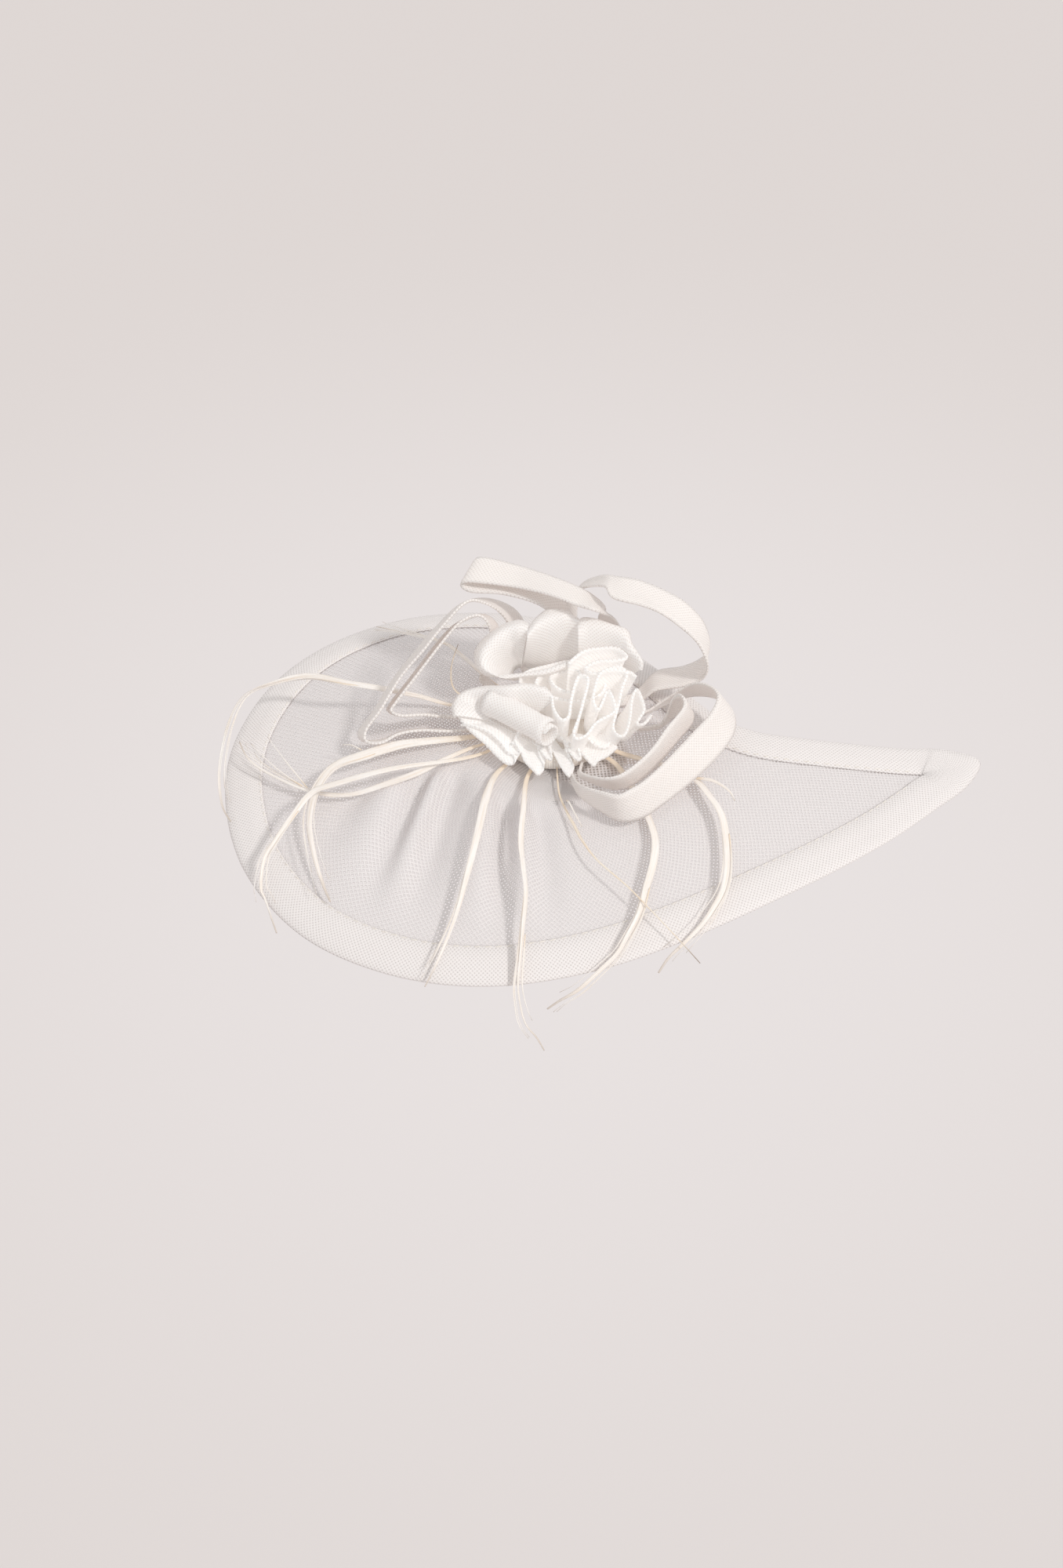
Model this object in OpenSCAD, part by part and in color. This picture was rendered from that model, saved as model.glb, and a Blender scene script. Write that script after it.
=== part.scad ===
// Sinamay fascinator headpiece on a sprung hair clip.
// Origin: centre of the clip's gripping face, on the head side. +Z leads away from the head.

/* [Brim] */
// Length of the brim, from its round end to its point
brim_l = 310; // [250:1:372]
// Width of the brim, from back to front
brim_w = 214; // [176:1:258]
// How far the brim's front edge lies below its crown
brim_drop = 18; // [12:1:24]
// Thickness of the brim's single sheet
panel_t = 0.8; // [0.6:0.1:1.2]
// Half length of the flat crown under the trimming
crown_flat = 34; // [30:1:44]
// Height of the soft folds that run out from the trimming
fold_h = 2.4; // [0:0.2:3.2]

/* [Edge] */
// Width of the folded strip that binds the edge
binding_w = 14.5; // [11:0.5:18]
// Thickness of the binding strip
binding_t = 0.8; // [0.6:0.1:1.2]
// Radius of the wire inside the binding's fold
wire_r = 0.5; // [0.4:0.05:0.6]

/* [Trimming] */
// Radius of the pad that carries the trimming
pad_r = 24; // [20:0.5:28]
// Height of that pad
pad_h = 5; // [4:0.5:7]
// Thickness of the ribbon loops
ribbon_t = 0.9; // [0.6:0.1:1.2]
// Thickness of the ruffled strips in the rosettes
ruffle_t = 1.2; // [0.8:0.1:1.6]
// Thickness of a feather at its quill
feather_t = 0.8; // [0.5:0.1:1.2]

/* [Clip] */
// Length of the clip's fixed plate
clip_l = 48; // [40:1:58]
// Width of the clip's fixed plate
clip_w = 9; // [8:0.5:12]
// Thickness of the clip's sheet metal
clip_t = 0.8; // [0.6:0.1:1]
// Radius of the clip's hinge pin
pin_r = 0.8; // [0.6:0.05:1]
// Radius and thickness of the covered disc that the clip is sewn to
disc_r = 26; // [22:0.5:28]
disc_t = 2.5; // [1.5:0.5:4]

/* [Hidden] */
$fn = 48;

soft_gap = 0.3;      // between soft pieces that lie on each other
pin_gap = 0.05;      // radial running clearance in the jaw's ears
cream = [0.96, 0.93, 0.88];
ivory = [0.98, 0.97, 0.95];
dark_metal = [0.16, 0.14, 0.14];

// ---------- points and curves ----------
function unit(v) = v / max(norm(v), 1e-9);
function flat(v) = [v.x, v.y];
function raised(p, z) = [p.x, p.y, z];

// A smooth curve through p[i] and p[j], u from 0 to 1
function blend(a, b, c, d, u) =
    0.5 * (2*b + (c - a)*u + (2*a - 5*b + 4*c - d)*u*u + (3*b - a - 3*c + d)*u*u*u);
function open_curve(p, steps) = [
    for (i = [0 : len(p) - 2]) for (k = [0 : steps - 1])
        blend(p[max(i - 1, 0)], p[i], p[i + 1], p[min(i + 2, len(p) - 1)], k/steps),
    p[len(p) - 1],
];
function ring_curve(p, steps) = let (n = len(p)) [
    for (i = [0 : n - 1]) for (k = [0 : steps - 1])
        blend(p[(i + n - 1) % n], p[i], p[(i + 1) % n], p[(i + 2) % n], k/steps),
];

// ---------- the brim's outline and dome ----------
drawn_l = 310;       // the outline below is drawn at this length and width
drawn_w = 214;
rim_drawn = [
    [172, 16], [157, 19], [138, 16], [105, 15], [78, 17], [60, 28], [43, 50], [22, 76],
    [-5, 96], [-36, 107], [-70, 106], [-101, 90], [-124, 62], [-137, 24], [-137, -12],
    [-126, -48], [-102, -79], [-68, -98], [-30, -105], [10, -100], [48, -86], [90, -63],
    [126, -38], [152, -14], [166, 1],
];
rim_steps = 3;
rim_line = ring_curve(
    [for (p = rim_drawn) [p.x * brim_l/drawn_l, p.y * brim_w/drawn_w]], rim_steps);
rim_n = len(rim_line);

// A curve that runs w inside the rim. Past the mitre's inner corner, where the insides of
// the two straight edges meet, it follows spokes to that corner.
function left_of(d) = [-d.y, d.x];
function rim_dir(i) = unit(rim_line[(i + 1) % rim_n] - rim_line[i % rim_n]);
function rim_tangent(i) = unit(rim_dir(i) + rim_dir(i + rim_n - 1));
function meet(p, d, q, e) = p + d * cross(q - p, e) / cross(d, e);
back_start = 2 * rim_steps;     // where the straight back edge starts
front_end = 23 * rim_steps;     // where the straight front edge ends
function hem_at(i) = rim_line[i] + left_of(rim_dir(i)) * binding_w;
mitre = meet(hem_at(back_start), rim_dir(back_start), hem_at(front_end - 1), rim_dir(front_end - 1));
mitre_reach = 0.97;  // how near to the corner the spokes come
function past_mitre(i) = rim_line[i].x > brim_l/4 && hem_at(i).x > mitre.x;
function inset(i, w) = past_mitre(i)
    ? rim_line[i] + (mitre - rim_line[i]) * mitre_reach * w / binding_w
    : rim_line[i] + left_of(rim_tangent(i)) * w;
function inset_curve(w) = [for (i = [0 : rim_n - 1]) inset(i, w)];

dome_y = 5;          // the dome's middle, back from the clip
round_a = 137 * brim_l/drawn_l;
point_a = 165 * brim_l/drawn_l;
side_b = 105 * brim_w/drawn_w;
crown_z = clip_t + disc_t + soft_gap + panel_t/2;
// How far out a point lies, from 0 on the flat crown to 1 at the dome's edge
function reach(x, y) = let (
    out = norm([x, y - dome_y]),
    share = norm([x / (x < 0 ? round_a : point_a), (y - dome_y) / side_b]),
    edge = out / max(share, 1e-6))
    out <= crown_flat ? 0 : (out - crown_flat) / (edge - crown_flat);
function smooth_dome(x, y) = crown_z - brim_drop * pow(reach(x, y), 1.5);

// Soft folds fan out to the front left and die away before the binding
fold_from = 185;
fold_to = 285;
fold_count = 6;
fold_span = fold_to - fold_from;
gather = [-4, mitre.y - 16];     // the folds and the sheet's gathers come from here
function fold(x, y) =
    let (a = (atan2(y - gather.y, x - gather.x) + 360) % 360, r = reach(x, y),
         near = min(1, r * 6), far = min(1, max(0, (0.84 - r) * 4)),
         side = max(0, sin((a - fold_from) / fold_span * 180)))
    a < fold_from || a > fold_to ? 0
        : fold_h * near * far * sqrt(side) * cos((a - fold_from) * 360 * fold_count / fold_span);
function dome(x, y) = smooth_dome(x, y) + fold(x, y);
function on_dome(p, lift) = [p.x, p.y, dome(p.x, p.y) + lift];

// ---------- solids from rings of points ----------
function joined(lists) = [for (l = lists) for (p = l) p];
module skin(rings, closed = false) {
    n = len(rings);
    m = len(rings[0]);
    sides = [
        for (i = [0 : n - (closed ? 1 : 2)]) for (j = [0 : m - 1])
            let (k = (i + 1) % n, h = (j + 1) % m)
            each [[i*m + j, k*m + j, k*m + h], [i*m + j, k*m + h, i*m + h]],
    ];
    ends = closed ? [] : [
        [for (j = [0 : m - 1]) j],
        [for (j = [0 : m - 1]) n*m - 1 - j],
    ];
    polyhedron(joined(rings), concat(sides, ends), convexity = 10);
}

// ---------- brim ----------
gather_r = 1.5;      // the thread hole that the sheet is gathered round
panel_in = 1.6;      // the sheet stops this far inside the binding's fold
panel_shares = [0, 0.12, 0.24, 0.36, 0.48, 0.6, 0.72, 0.84, 1];
module brim_panel() {
    edge = inset_curve(panel_in);
    hem = inset_curve(binding_w);
    function row(i) = let (
        mid = gather + gather_r * unit(hem[i] - gather),
        line = [for (s = panel_shares) mid + (hem[i] - mid) * s, (hem[i] + edge[i]) / 2, edge[i]])
        concat([for (p = line) on_dome(p, panel_t/2)],
            [for (k = [len(line) - 1 : -1 : 0]) on_dome(line[k], -panel_t/2)]);
    color(ivory) skin([for (i = [0 : len(hem) - 1]) row(i)], closed = true);
}

module edge_wire() {
    path = inset_curve(panel_in - soft_gap - wire_r);
    n = len(path);
    function ring(i) = let (
        t = unit(path[(i + 1) % n] - path[(i + n - 1) % n]),
        side = [-t.y, t.x])
        [for (a = [0 : 60 : 300]) on_dome(path[i] + side * wire_r * cos(a), wire_r * sin(a))];
    color("gainsboro") skin([for (i = [0 : n - 1]) ring(i)], closed = true);
}

module edge_binding() {
    inner = panel_t/2 + soft_gap;
    outer = inner + binding_t;
    hem = inset_curve(binding_w);
    mid = inset_curve(binding_w * 0.5);
    near = inset_curve(0.2);
    rim = inset_curve(-binding_t * 0.4);
    nose = inset_curve(-binding_t * 1.2);
    function section(i) = [
        on_dome(hem[i], outer), on_dome(mid[i], outer), on_dome(rim[i], outer * 0.9),
        on_dome(nose[i], 0), on_dome(rim[i], -outer * 0.9), on_dome(mid[i], -outer),
        on_dome(hem[i], -outer), on_dome(hem[i], -inner), on_dome(mid[i], -inner),
        on_dome(near[i], -inner), on_dome(near[i], inner), on_dome(mid[i], inner),
        on_dome(hem[i], inner),
    ];
    color(cream) skin([for (i = [0 : len(hem) - 1]) section(i)], closed = true);
}

// ---------- pads ----------
pad_at = [-4, 14];
pad_z = crown_z + panel_t/2 + soft_gap;
pad_top = pad_z + pad_h;
module trim_pad() {
    color(cream) translate(raised(pad_at, pad_z)) cylinder(r = pad_r, h = pad_h);
}
module base_disc() {
    color(ivory) translate([0, 2, clip_t]) cylinder(r = disc_r, h = disc_t);
}

// A sewn end, pinched against the pad's side at an angle, from z = low to high above its foot
function seat(angle, low, high) =
    let (r = pad_r + soft_gap + ribbon_t/2,
         p = pad_at + r * [cos(angle), sin(angle)])
    [raised(p, pad_z + low), raised(p, pad_z + high)];

// ---------- ribbon loops ----------
// Each station is a pair of points, one on each edge: [x, y, height over the smooth dome]
function lifted(p) = [p.x, p.y, smooth_dome(p.x, p.y) + p.z];
function stations(pairs) = [for (s = pairs) [lifted(s[0]), lifted(s[1])]];
module ribbon(pairs, steps = 3) {
    a = open_curve([for (s = pairs) s[0]], steps);
    b = open_curve([for (s = pairs) s[1]], steps);
    n = len(a);
    function out(i) = unit(cross(
        (a[min(i + 1, n - 1)] + b[min(i + 1, n - 1)]) - (a[max(i - 1, 0)] + b[max(i - 1, 0)]),
        b[i] - a[i])) * ribbon_t/2;
    color(ivory) skin([for (i = [0 : n - 1])
        [a[i] - out(i), b[i] - out(i), b[i] + out(i), a[i] + out(i)]]);
}

top_loop_pairs = [
    [[14, 58, 14], [24, 56, 13]], [[15, 57, 28], [22, 50, 30]], [[17, 48, 39], [14, 37, 45]],
    [[10, 52, 44], [5, 38, 46]], [[-2, 57, 47], [-5, 43, 47]], [[-17, 64, 50], [-20, 50, 46]],
    [[-32, 67, 54], [-38, 53, 49]], [[-36, 67, 53], [-42, 54, 47]],
    [[-32, 65, 49], [-38, 52, 44]], [[-22, 62, 43], [-27, 49, 41]], [[-12, 60, 36], [-16, 50, 33]],
    [[-7, 60, 24], [-13, 55, 22]], [[-6, 55, 10], [-11, 54, 8]],
];
module top_loop() {
    ribbon(concat([seat(62, 0.6, 3.6)], stations(top_loop_pairs), [seat(98, 3.6, 0.6)]));
}

right_upper_pairs = [
    [[6, 64, 8], [-2, 62, 7]], [[6, 69, 24], [0, 60, 26]], [[8, 67, 38], [4, 58, 40]],
    [[16, 58, 49], [16, 47, 51]],
    [[22, 53, 52], [20, 39, 51]], [[31, 51, 52], [31, 36, 50]], [[42, 48, 49], [39, 34, 48]],
    [[50, 46, 45], [47, 32, 43]], [[57, 45, 37], [54, 30, 37]], [[60, 43, 29], [58, 28, 30]],
    [[60, 43, 22], [59, 28, 23]], [[57, 44, 16], [56, 29, 16]], [[50, 43, 12], [48, 28, 13]],
    [[39, 42, 9], [38, 28, 10]], [[30, 34, 3.6], [31, 27, 4]],
];
module right_upper_loop() {
    ribbon(concat([seat(78, 3.6, 0.6)], stations(right_upper_pairs), [seat(30, 3.6, 0.6)]));
}

front_outer_pairs = [
    [[4, -22, 4], [5, -23, 8]], [[7, -30, 5.5], [8, -33, 15]], [[14, -36, 5.5], [15, -39, 19]],
    [[22, -41, 5.5], [21, -41, 20]], [[30, -40, 6], [26, -38, 20]], [[38, -34, 6.5], [32, -33, 20]],
    [[50, -23, 8], [41, -22, 20]], [[62, -10, 11], [52, -8, 22]], [[69, 2, 13], [59, 0, 25]],
    [[69, 12, 15], [62, 7, 28]], [[63, 21, 14], [59, 14, 27]], [[53, 26, 10], [52, 20, 22]],
    [[42, 25, 5], [42, 22, 11]], [[33, 21, 3], [33, 20, 5]],
];
module front_outer_loop() {
    ribbon(concat([seat(284, 0.6, 3.6)], stations(front_outer_pairs), [seat(15, 0.6, 3.6)]));
}

front_inner_pairs = [
    [[6, -18, 6], [7, -20, 10]], [[13, -25, 8], [13, -31, 18]], [[21, -28, 8.6], [20, -34, 22]],
    [[30, -24, 9.5], [26, -30, 22.5]], [[38, -15, 10.5], [34, -21, 23]],
    [[46, -4, 12.5], [41, -10, 25]], [[52, 5, 14], [48, 0, 27.5]], [[52, 11, 14], [47, 7, 27.5]],
    [[46, 13, 10], [44, 10, 22]], [[38, 12, 3.2], [39, 11, 6.6]],
];
module front_inner_loop() {
    ribbon(concat([seat(298, 0.6, 3.6)], stations(front_inner_pairs), [seat(356, 0.6, 3.6)]));
}

left_outer_pairs = [
    [[-34, 50, 6], [-32, 56, 6]], [[-35, 52, 24], [-33, 62, 20]], [[-35, 50, 40], [-34, 61, 32]],
    [[-40, 45, 45.5], [-40, 56, 36]], [[-49, 37, 40], [-48, 48, 31]], [[-57, 29, 34], [-56, 40, 25]],
    [[-66, 22, 27], [-64, 33, 18]], [[-74, 11, 20], [-72, 22, 11]], [[-80, 5, 15], [-78, 16, 5.5]],
    [[-80, 0, 13], [-77, 12, 4]], [[-74, -1, 12], [-72, 10, 3.6]], [[-67, 4, 11], [-66, 13, 3.6]],
    [[-58, 8, 8], [-58, 14, 3]], [[-46, 10, 4.4], [-46, 13, 2]],
];
module left_outer_loop() {
    ribbon(concat([seat(128, 3.6, 0.6)], stations(left_outer_pairs), [seat(184, 3.6, 0.6)]));
}

left_inner_pairs = [
    [[-41, 32, 5], [-40, 38, 5]], [[-38, 38, 20], [-37, 46, 17]], [[-37, 41, 34], [-36, 50, 27]],
    [[-40, 40, 41], [-40, 50, 33]], [[-47, 35, 36], [-46, 46, 28]], [[-60, 22, 26], [-58, 33, 18]],
    [[-68, 14, 20], [-66, 25, 11]], [[-70, 11, 18], [-67, 22, 9]], [[-66, 9, 16.5], [-64, 20, 7]],
    [[-57, 13, 12], [-57, 21, 5]], [[-46, 18, 4.8], [-46, 21, 2.4]],
];
module left_inner_loop() {
    ribbon(concat([seat(146, 3.6, 0.6)], stations(left_inner_pairs), [seat(170, 3.6, 0.6)]));
}

// ---------- rosettes ----------
// A strip that stands on edge along a path
rosette_z = pad_top + soft_gap;
module ruffle(path, low, high) {
    n = len(path);
    function side(i) = let (d = unit(path[min(i + 1, n - 1)] - path[max(i - 1, 0)]))
        [-d.y, d.x] * ruffle_t/2;
    color(cream) translate([0, 0, rosette_z + low]) linear_extrude(high - low) polygon(concat(
        [for (i = [0 : n - 1]) path[i] + side(i)],
        [for (i = [n - 1 : -1 : 0]) path[i] - side(i)]));
}
function spiral(at, r_in, r_out, from, turns, count) = [
    for (k = [0 : count]) let (u = k/count, a = from + 360*turns*u)
        at + (r_in + (r_out - r_in)*u) * [cos(a), sin(a)],
];
// Straight legs side by side, joined by half-round turns
function serpentine(leg, pitch, legs) = [
    for (k = [0 : legs - 1]) let (up = k % 2 == 0 ? 1 : -1)
        each concat([[k*pitch, -up*leg/2]], k == legs - 1 ? [[k*pitch, up*leg/2]]
            : [for (a = [0 : 30 : 150]) [(k + 0.5)*pitch - cos(a)*pitch/2, up*(leg + pitch*sin(a))/2]])
];
function placed(path, at, turn) = [
    for (p = path) at + [p.x*cos(turn) - p.y*sin(turn), p.x*sin(turn) + p.y*cos(turn)],
];

module rosette_top() {
    ruffle(spiral([-20, 36], 3, 13, 40, 1.7, 40), 0, 24);
}
module rosette_back() {
    ruffle(placed(serpentine(10, 4.4, 8), [-2, 40], -3), 0, 25);
}
module rosette_front() {
    ruffle(spiral([-17, 11], 2.5, 8, 200, 1.5, 30), 0, 7);
}
module rosette_right() {
    ruffle(placed(serpentine(25, 4.6, 8), [-1, 13], -6), 0, 20);
}
roll_r = 5;
roll_bore = 3.4;
roll_l = 27;
module rosette_roll() {
    color(ivory) translate([-31, 15, rosette_z + 7 + soft_gap + roll_r]) rotate([0, 90, -36])
        difference() {
            cylinder(r = roll_r, h = roll_l);
            translate([0, 0, 6]) cylinder(r = roll_bore, h = roll_l);
        }
}
frill_r = 25;
frill_swing = 1.5;
frill_from = 175;
frill_to = 276;
frill_wave = 16;     // degrees round the pad for one wave
module rosette_frill() {
    ruffle([for (a = [frill_from : 1.6 : frill_to])
        pad_at + (frill_r + frill_swing*sin(a*360/frill_wave)) * [cos(a), sin(a)]], 0, 5);
}

// ---------- feathers ----------
// Each route starts at the pad's side; its points are [x, y, height over the dome]
function root_of(p) = let (d = unit(flat(p) - pad_at))
    raised(pad_at + (pad_r + soft_gap) * d, pad_z + 2.4);
module vane(route, width, steps = 2) {
    path = open_curve(route, steps);
    n = len(path);
    function ring(i) = let (
        t = unit(path[min(i + 1, n - 1)] - path[max(i - 1, 0)]),
        side = unit(cross(t, [0, 0, 1])), up = cross(side, t), u = i/(n - 1),
        w = width/2 * min(1, 0.35 + 2.6*u) * min(1, 0.12 + 2.2*(1 - u)),
        h = feather_t/2 * (1 - 0.6*u))
        [path[i] + side*w, path[i] - up*h, path[i] - side*w, path[i] + up*h];
    color(ivory) skin([for (i = [0 : n - 1]) ring(i)]);
}
module feather(points, width) {
    vane(concat([root_of(points[0])], [for (p = points) on_dome(p, p.z)]), width);
}

module feather_left_high() {
    feather([[-47, 28, 3], [-60, 30, 8], [-76, 31, 14], [-90, 34, 17], [-106, 41, 18],
        [-122, 40, 18], [-133, 36, 17], [-139, 22, 13], [-141, 0, 9], [-139, -15, 5],
        [-135, -23, 3]], 3.6);
}
module feather_left_wide() {
    feather([[-41, 7, 3], [-65, 1, 8], [-81, -5, 10], [-93, -9, 10], [-100, -20, 9],
        [-102, -34, 8], [-99, -50, 6], [-95, -62, 4.5], [-92, -69, 3.5]], 5);
}
module feather_left_forked() {
    feather([[-38, 1, 2.6], [-50, -7, 4], [-60, -13, 4.5], [-72, -17, 4.5], [-85, -20, 4.5],
        [-97, -18.5, 5], [-109, -12, 5.5], [-123, -1, 6.5], [-130, 7, 7.5], [-134, 17, 8]], 3);
}
module feather_left_low() {
    feather([[-39, -5, 3.4], [-69, -16, 12], [-91, -22, 14], [-101, -25, 14], [-108, -34, 13],
        [-115, -44, 11], [-119, -50, 9], [-120, -60, 6], [-118, -65, 4], [-113, -79, 3]], 3.4);
}
module feather_front_left() {
    feather([[-27, -14, 3], [-31, -30, 7], [-34, -48, 9], [-38, -67, 8.5], [-42, -82, 7],
        [-47, -94, 5], [-51, -102, 4], [-54, -107, 3]], 3.6);
}
module feather_front_mid() {
    feather([[-15, -18, 3], [-16, -36, 7], [-17, -53, 8.5], [-16, -65, 9], [-15, -76, 9],
        [-16, -88, 8], [-17, -99, 6], [-18, -108, 3], [-17, -113, -2], [-15, -117, -6],
        [-11, -120, -9], [-8, -123, -12]], 3.6);
}
module feather_front_right() {
    feather([[21, -8, 2.6], [27, -20, 2.6], [33, -35, 3], [36, -48, 4.5], [35, -60, 6], [32, -71, 6],
        [29, -82, 6], [24, -91, 5], [20, -97, 4], [13, -103, 3], [5, -108, 0], [-2, -110, -3],
        [-7, -112, -5]], 4.6);
}
module feather_right_wide() {
    feather([[24, -2, 2.6], [34, -6, 2.6], [45, -10, 3], [53, -17, 4.5], [58, -26, 6], [62.5, -36, 7],
        [64, -47, 7], [64, -60, 7], [62, -70, 6], [57.5, -78, 5], [53, -84, 4], [46, -91, 3],
        [40, -96, 1.5], [36, -101, 0]], 5);
}
module feather_right_barb() {
    vane([for (p = [[53, -17, 5.5], [60, -20, 7.6], [66, -26, 9], [68, -31, 9]]) on_dome(p, p.z)], 1.6);
}
module feather_back_left() {
    feather([[-30, 42, 3], [-42, 58, 6], [-50, 66, 9], [-62, 75, 9], [-74, 83, 9],
        [-80, 87, 9]], 2.2);
}
module quill_front() {
    feather([[-2, -24, 2.2], [1, -35, 2.6], [4, -43, 4], [7, -51, 5.5], [13, -61, 7], [25, -73, 8],
        [36, -84, 7], [45, -93, 6], [52, -100, 5]], 1.4);
}
module quill_back() {
    feather([[-38, 29, 4], [-45, 30, 10], [-46, 32, 20], [-43, 35.5, 30]], 1.4);
}

// ---------- hair clip ----------
hinge_y = 11;
hinge_z = -3;
ear_w = 5.6;         // length of an ear along the clip
ear_gap = 0.2;       // beside the jaw's ears
slot_w = 1.5;        // between the clip's three prongs
slot_l = 15;
plate_half = clip_w/2;
jaw_half = plate_half - clip_t - ear_gap;
module prong_slots(half, low, high) {
    for (side = [-1, 1])
        translate([side*half*0.42 - slot_w/2, -clip_l/2 - 1, low]) cube([slot_w, slot_l + 1, high - low]);
}
module clip_plate() {
    color(dark_metal) difference() {
        union() {
            translate([-plate_half, -clip_l/2, 0]) cube([clip_w, clip_l, clip_t]);
            for (x = [-plate_half, plate_half - clip_t])
                translate([x, hinge_y - ear_w/2, hinge_z - 2]) cube([clip_t, ear_w, 2 - hinge_z]);
        }
        prong_slots(plate_half, -1, clip_t + 1);
        translate([-plate_half - 1, hinge_y, hinge_z]) rotate([0, 90, 0]) cylinder(r = pin_r, h = clip_w + 2);
    }
}

jaw_top = [[-clip_l/2, -soft_gap], [-6, -soft_gap], [4, -5.4], [14, -5.7], [27, -9.6]];
module clip_jaw() {
    profile = concat(jaw_top, [for (k = [len(jaw_top) - 1 : -1 : 0]) jaw_top[k] - [0, clip_t]]);
    color(dark_metal) difference() {
        union() {
            translate([-jaw_half, 0, 0]) rotate([90, 0, 90]) linear_extrude(2*jaw_half) polygon(profile);
            for (x = [-jaw_half, jaw_half - clip_t])
                translate([x, hinge_y - ear_w/2 + 0.4, -6]) cube([clip_t, ear_w - 0.8, 6 + hinge_z + 1.2]);
        }
        prong_slots(jaw_half, -3, 1);
        translate([-clip_w, hinge_y, hinge_z]) rotate([0, 90, 0]) cylinder(r = pin_r + pin_gap, h = 2*clip_w);
    }
}
pin_head = 0.5;
module clip_pin() {
    color("silver") translate([0, hinge_y, hinge_z]) rotate([0, 90, 0]) {
        translate([0, 0, -plate_half]) cylinder(r = pin_r, h = clip_w);
        for (side = [-1, 1])
            translate([0, 0, side*(plate_half + pin_head/2) - pin_head/2]) cylinder(r = pin_r + 0.5, h = pin_head);
    }
}

spring_r = 1.65;
spring_wire = 0.3;
spring_turns = 4;
spring_half = jaw_half - clip_t - 0.5;
module clip_spring() {
    coil = [for (a = [0 : 30 : 360*spring_turns]) [
        -spring_half + 2*spring_half * a / (360*spring_turns),
        hinge_y - spring_r*sin(a), hinge_z + spring_r*cos(a)]];
    last = coil[len(coil) - 1];
    path = concat([[-spring_half, hinge_y + 5.5, -0.42]], coil,
        [[last.x, hinge_y + 0.2, hinge_z + spring_r], [last.x, hinge_y + 2.6, hinge_z + 0.6],
        [last.x, hinge_y + 5.5, -6.3]]);
    n = len(path);
    function ring(i) = let (
        t = unit(path[min(i + 1, n - 1)] - path[max(i - 1, 0)]),
        across = unit([1, 0, 0] - t * t.x), up = cross(t, across))
        [for (a = [0 : 60 : 300]) path[i] + spring_wire * (across*cos(a) + up*sin(a))];
    color("silver") skin([for (i = [0 : n - 1]) ring(i)]);
}

stitch_t = 0.4;
module clip_stitches() {
    color(cream) for (y = [-3, 1, 19, 22])
        translate([0, y, 0]) difference() {
            translate([-plate_half - stitch_t, -0.4, -stitch_t]) cube([clip_w + 2*stitch_t, 0.8, clip_t + stitch_t]);
            translate([-plate_half, -1, 0]) cube([clip_w, 2, clip_t + 1]);
        }
}

brim_panel();
edge_wire();
edge_binding();
trim_pad();
base_disc();
top_loop();
right_upper_loop();
front_outer_loop();
front_inner_loop();
left_outer_loop();
left_inner_loop();
rosette_top();
rosette_back();
rosette_front();
rosette_right();
rosette_roll();
rosette_frill();
feather_left_high();
feather_left_wide();
feather_left_forked();
feather_left_low();
feather_front_left();
feather_front_mid();
feather_front_right();
feather_right_wide();
feather_right_barb();
feather_back_left();
quill_front();
quill_back();
clip_plate();
clip_jaw();
clip_pin();
clip_spring();
clip_stitches();
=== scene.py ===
# Sinamay fascinator headpiece: wired brim, ribbon loops, ruffled rosettes, feather strands and a hair clip
import math
import random

import bpy
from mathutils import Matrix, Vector


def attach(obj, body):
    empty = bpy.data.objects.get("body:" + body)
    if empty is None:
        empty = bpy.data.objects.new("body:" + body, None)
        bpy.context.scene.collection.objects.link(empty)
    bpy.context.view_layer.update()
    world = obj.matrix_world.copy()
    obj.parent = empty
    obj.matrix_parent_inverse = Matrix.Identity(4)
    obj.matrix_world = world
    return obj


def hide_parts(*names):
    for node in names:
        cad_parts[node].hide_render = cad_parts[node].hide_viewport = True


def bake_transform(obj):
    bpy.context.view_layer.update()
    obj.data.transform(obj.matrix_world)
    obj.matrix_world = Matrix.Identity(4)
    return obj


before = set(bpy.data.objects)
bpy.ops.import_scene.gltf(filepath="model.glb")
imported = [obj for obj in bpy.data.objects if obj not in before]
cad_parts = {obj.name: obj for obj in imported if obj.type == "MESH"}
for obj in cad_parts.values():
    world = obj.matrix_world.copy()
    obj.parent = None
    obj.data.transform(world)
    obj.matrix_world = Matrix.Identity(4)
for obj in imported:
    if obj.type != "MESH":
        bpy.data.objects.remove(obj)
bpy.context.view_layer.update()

mm = 0.001
scene = bpy.context.scene


# Camera, floor and light

studio = {
    "aim": (-13.0, -13.4, 0.6),       # what the camera looks at, mm
    "distance": 1100.0,
    "elevation": 45.0,
    "lens": 62.37,
    "floorDrop": 1400.0,              # the headpiece hangs this far above the floor
    "floorColour": (0.725, 0.693, 0.695),
    "cornerShadeColour": (0.66, 0.62, 0.61),   # painted shade: the paper darker further from the middle of the view, where the light falls off
    "skyColour": (1.0, 0.985, 0.975),
    "skyStrength": 0.79,
    "sunAngle": 7.0,                  # softness of the key light, degrees
    "sunStrength": 1.35,
    "sunFrom": (0.55, -0.35, 0.76),
}


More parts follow.
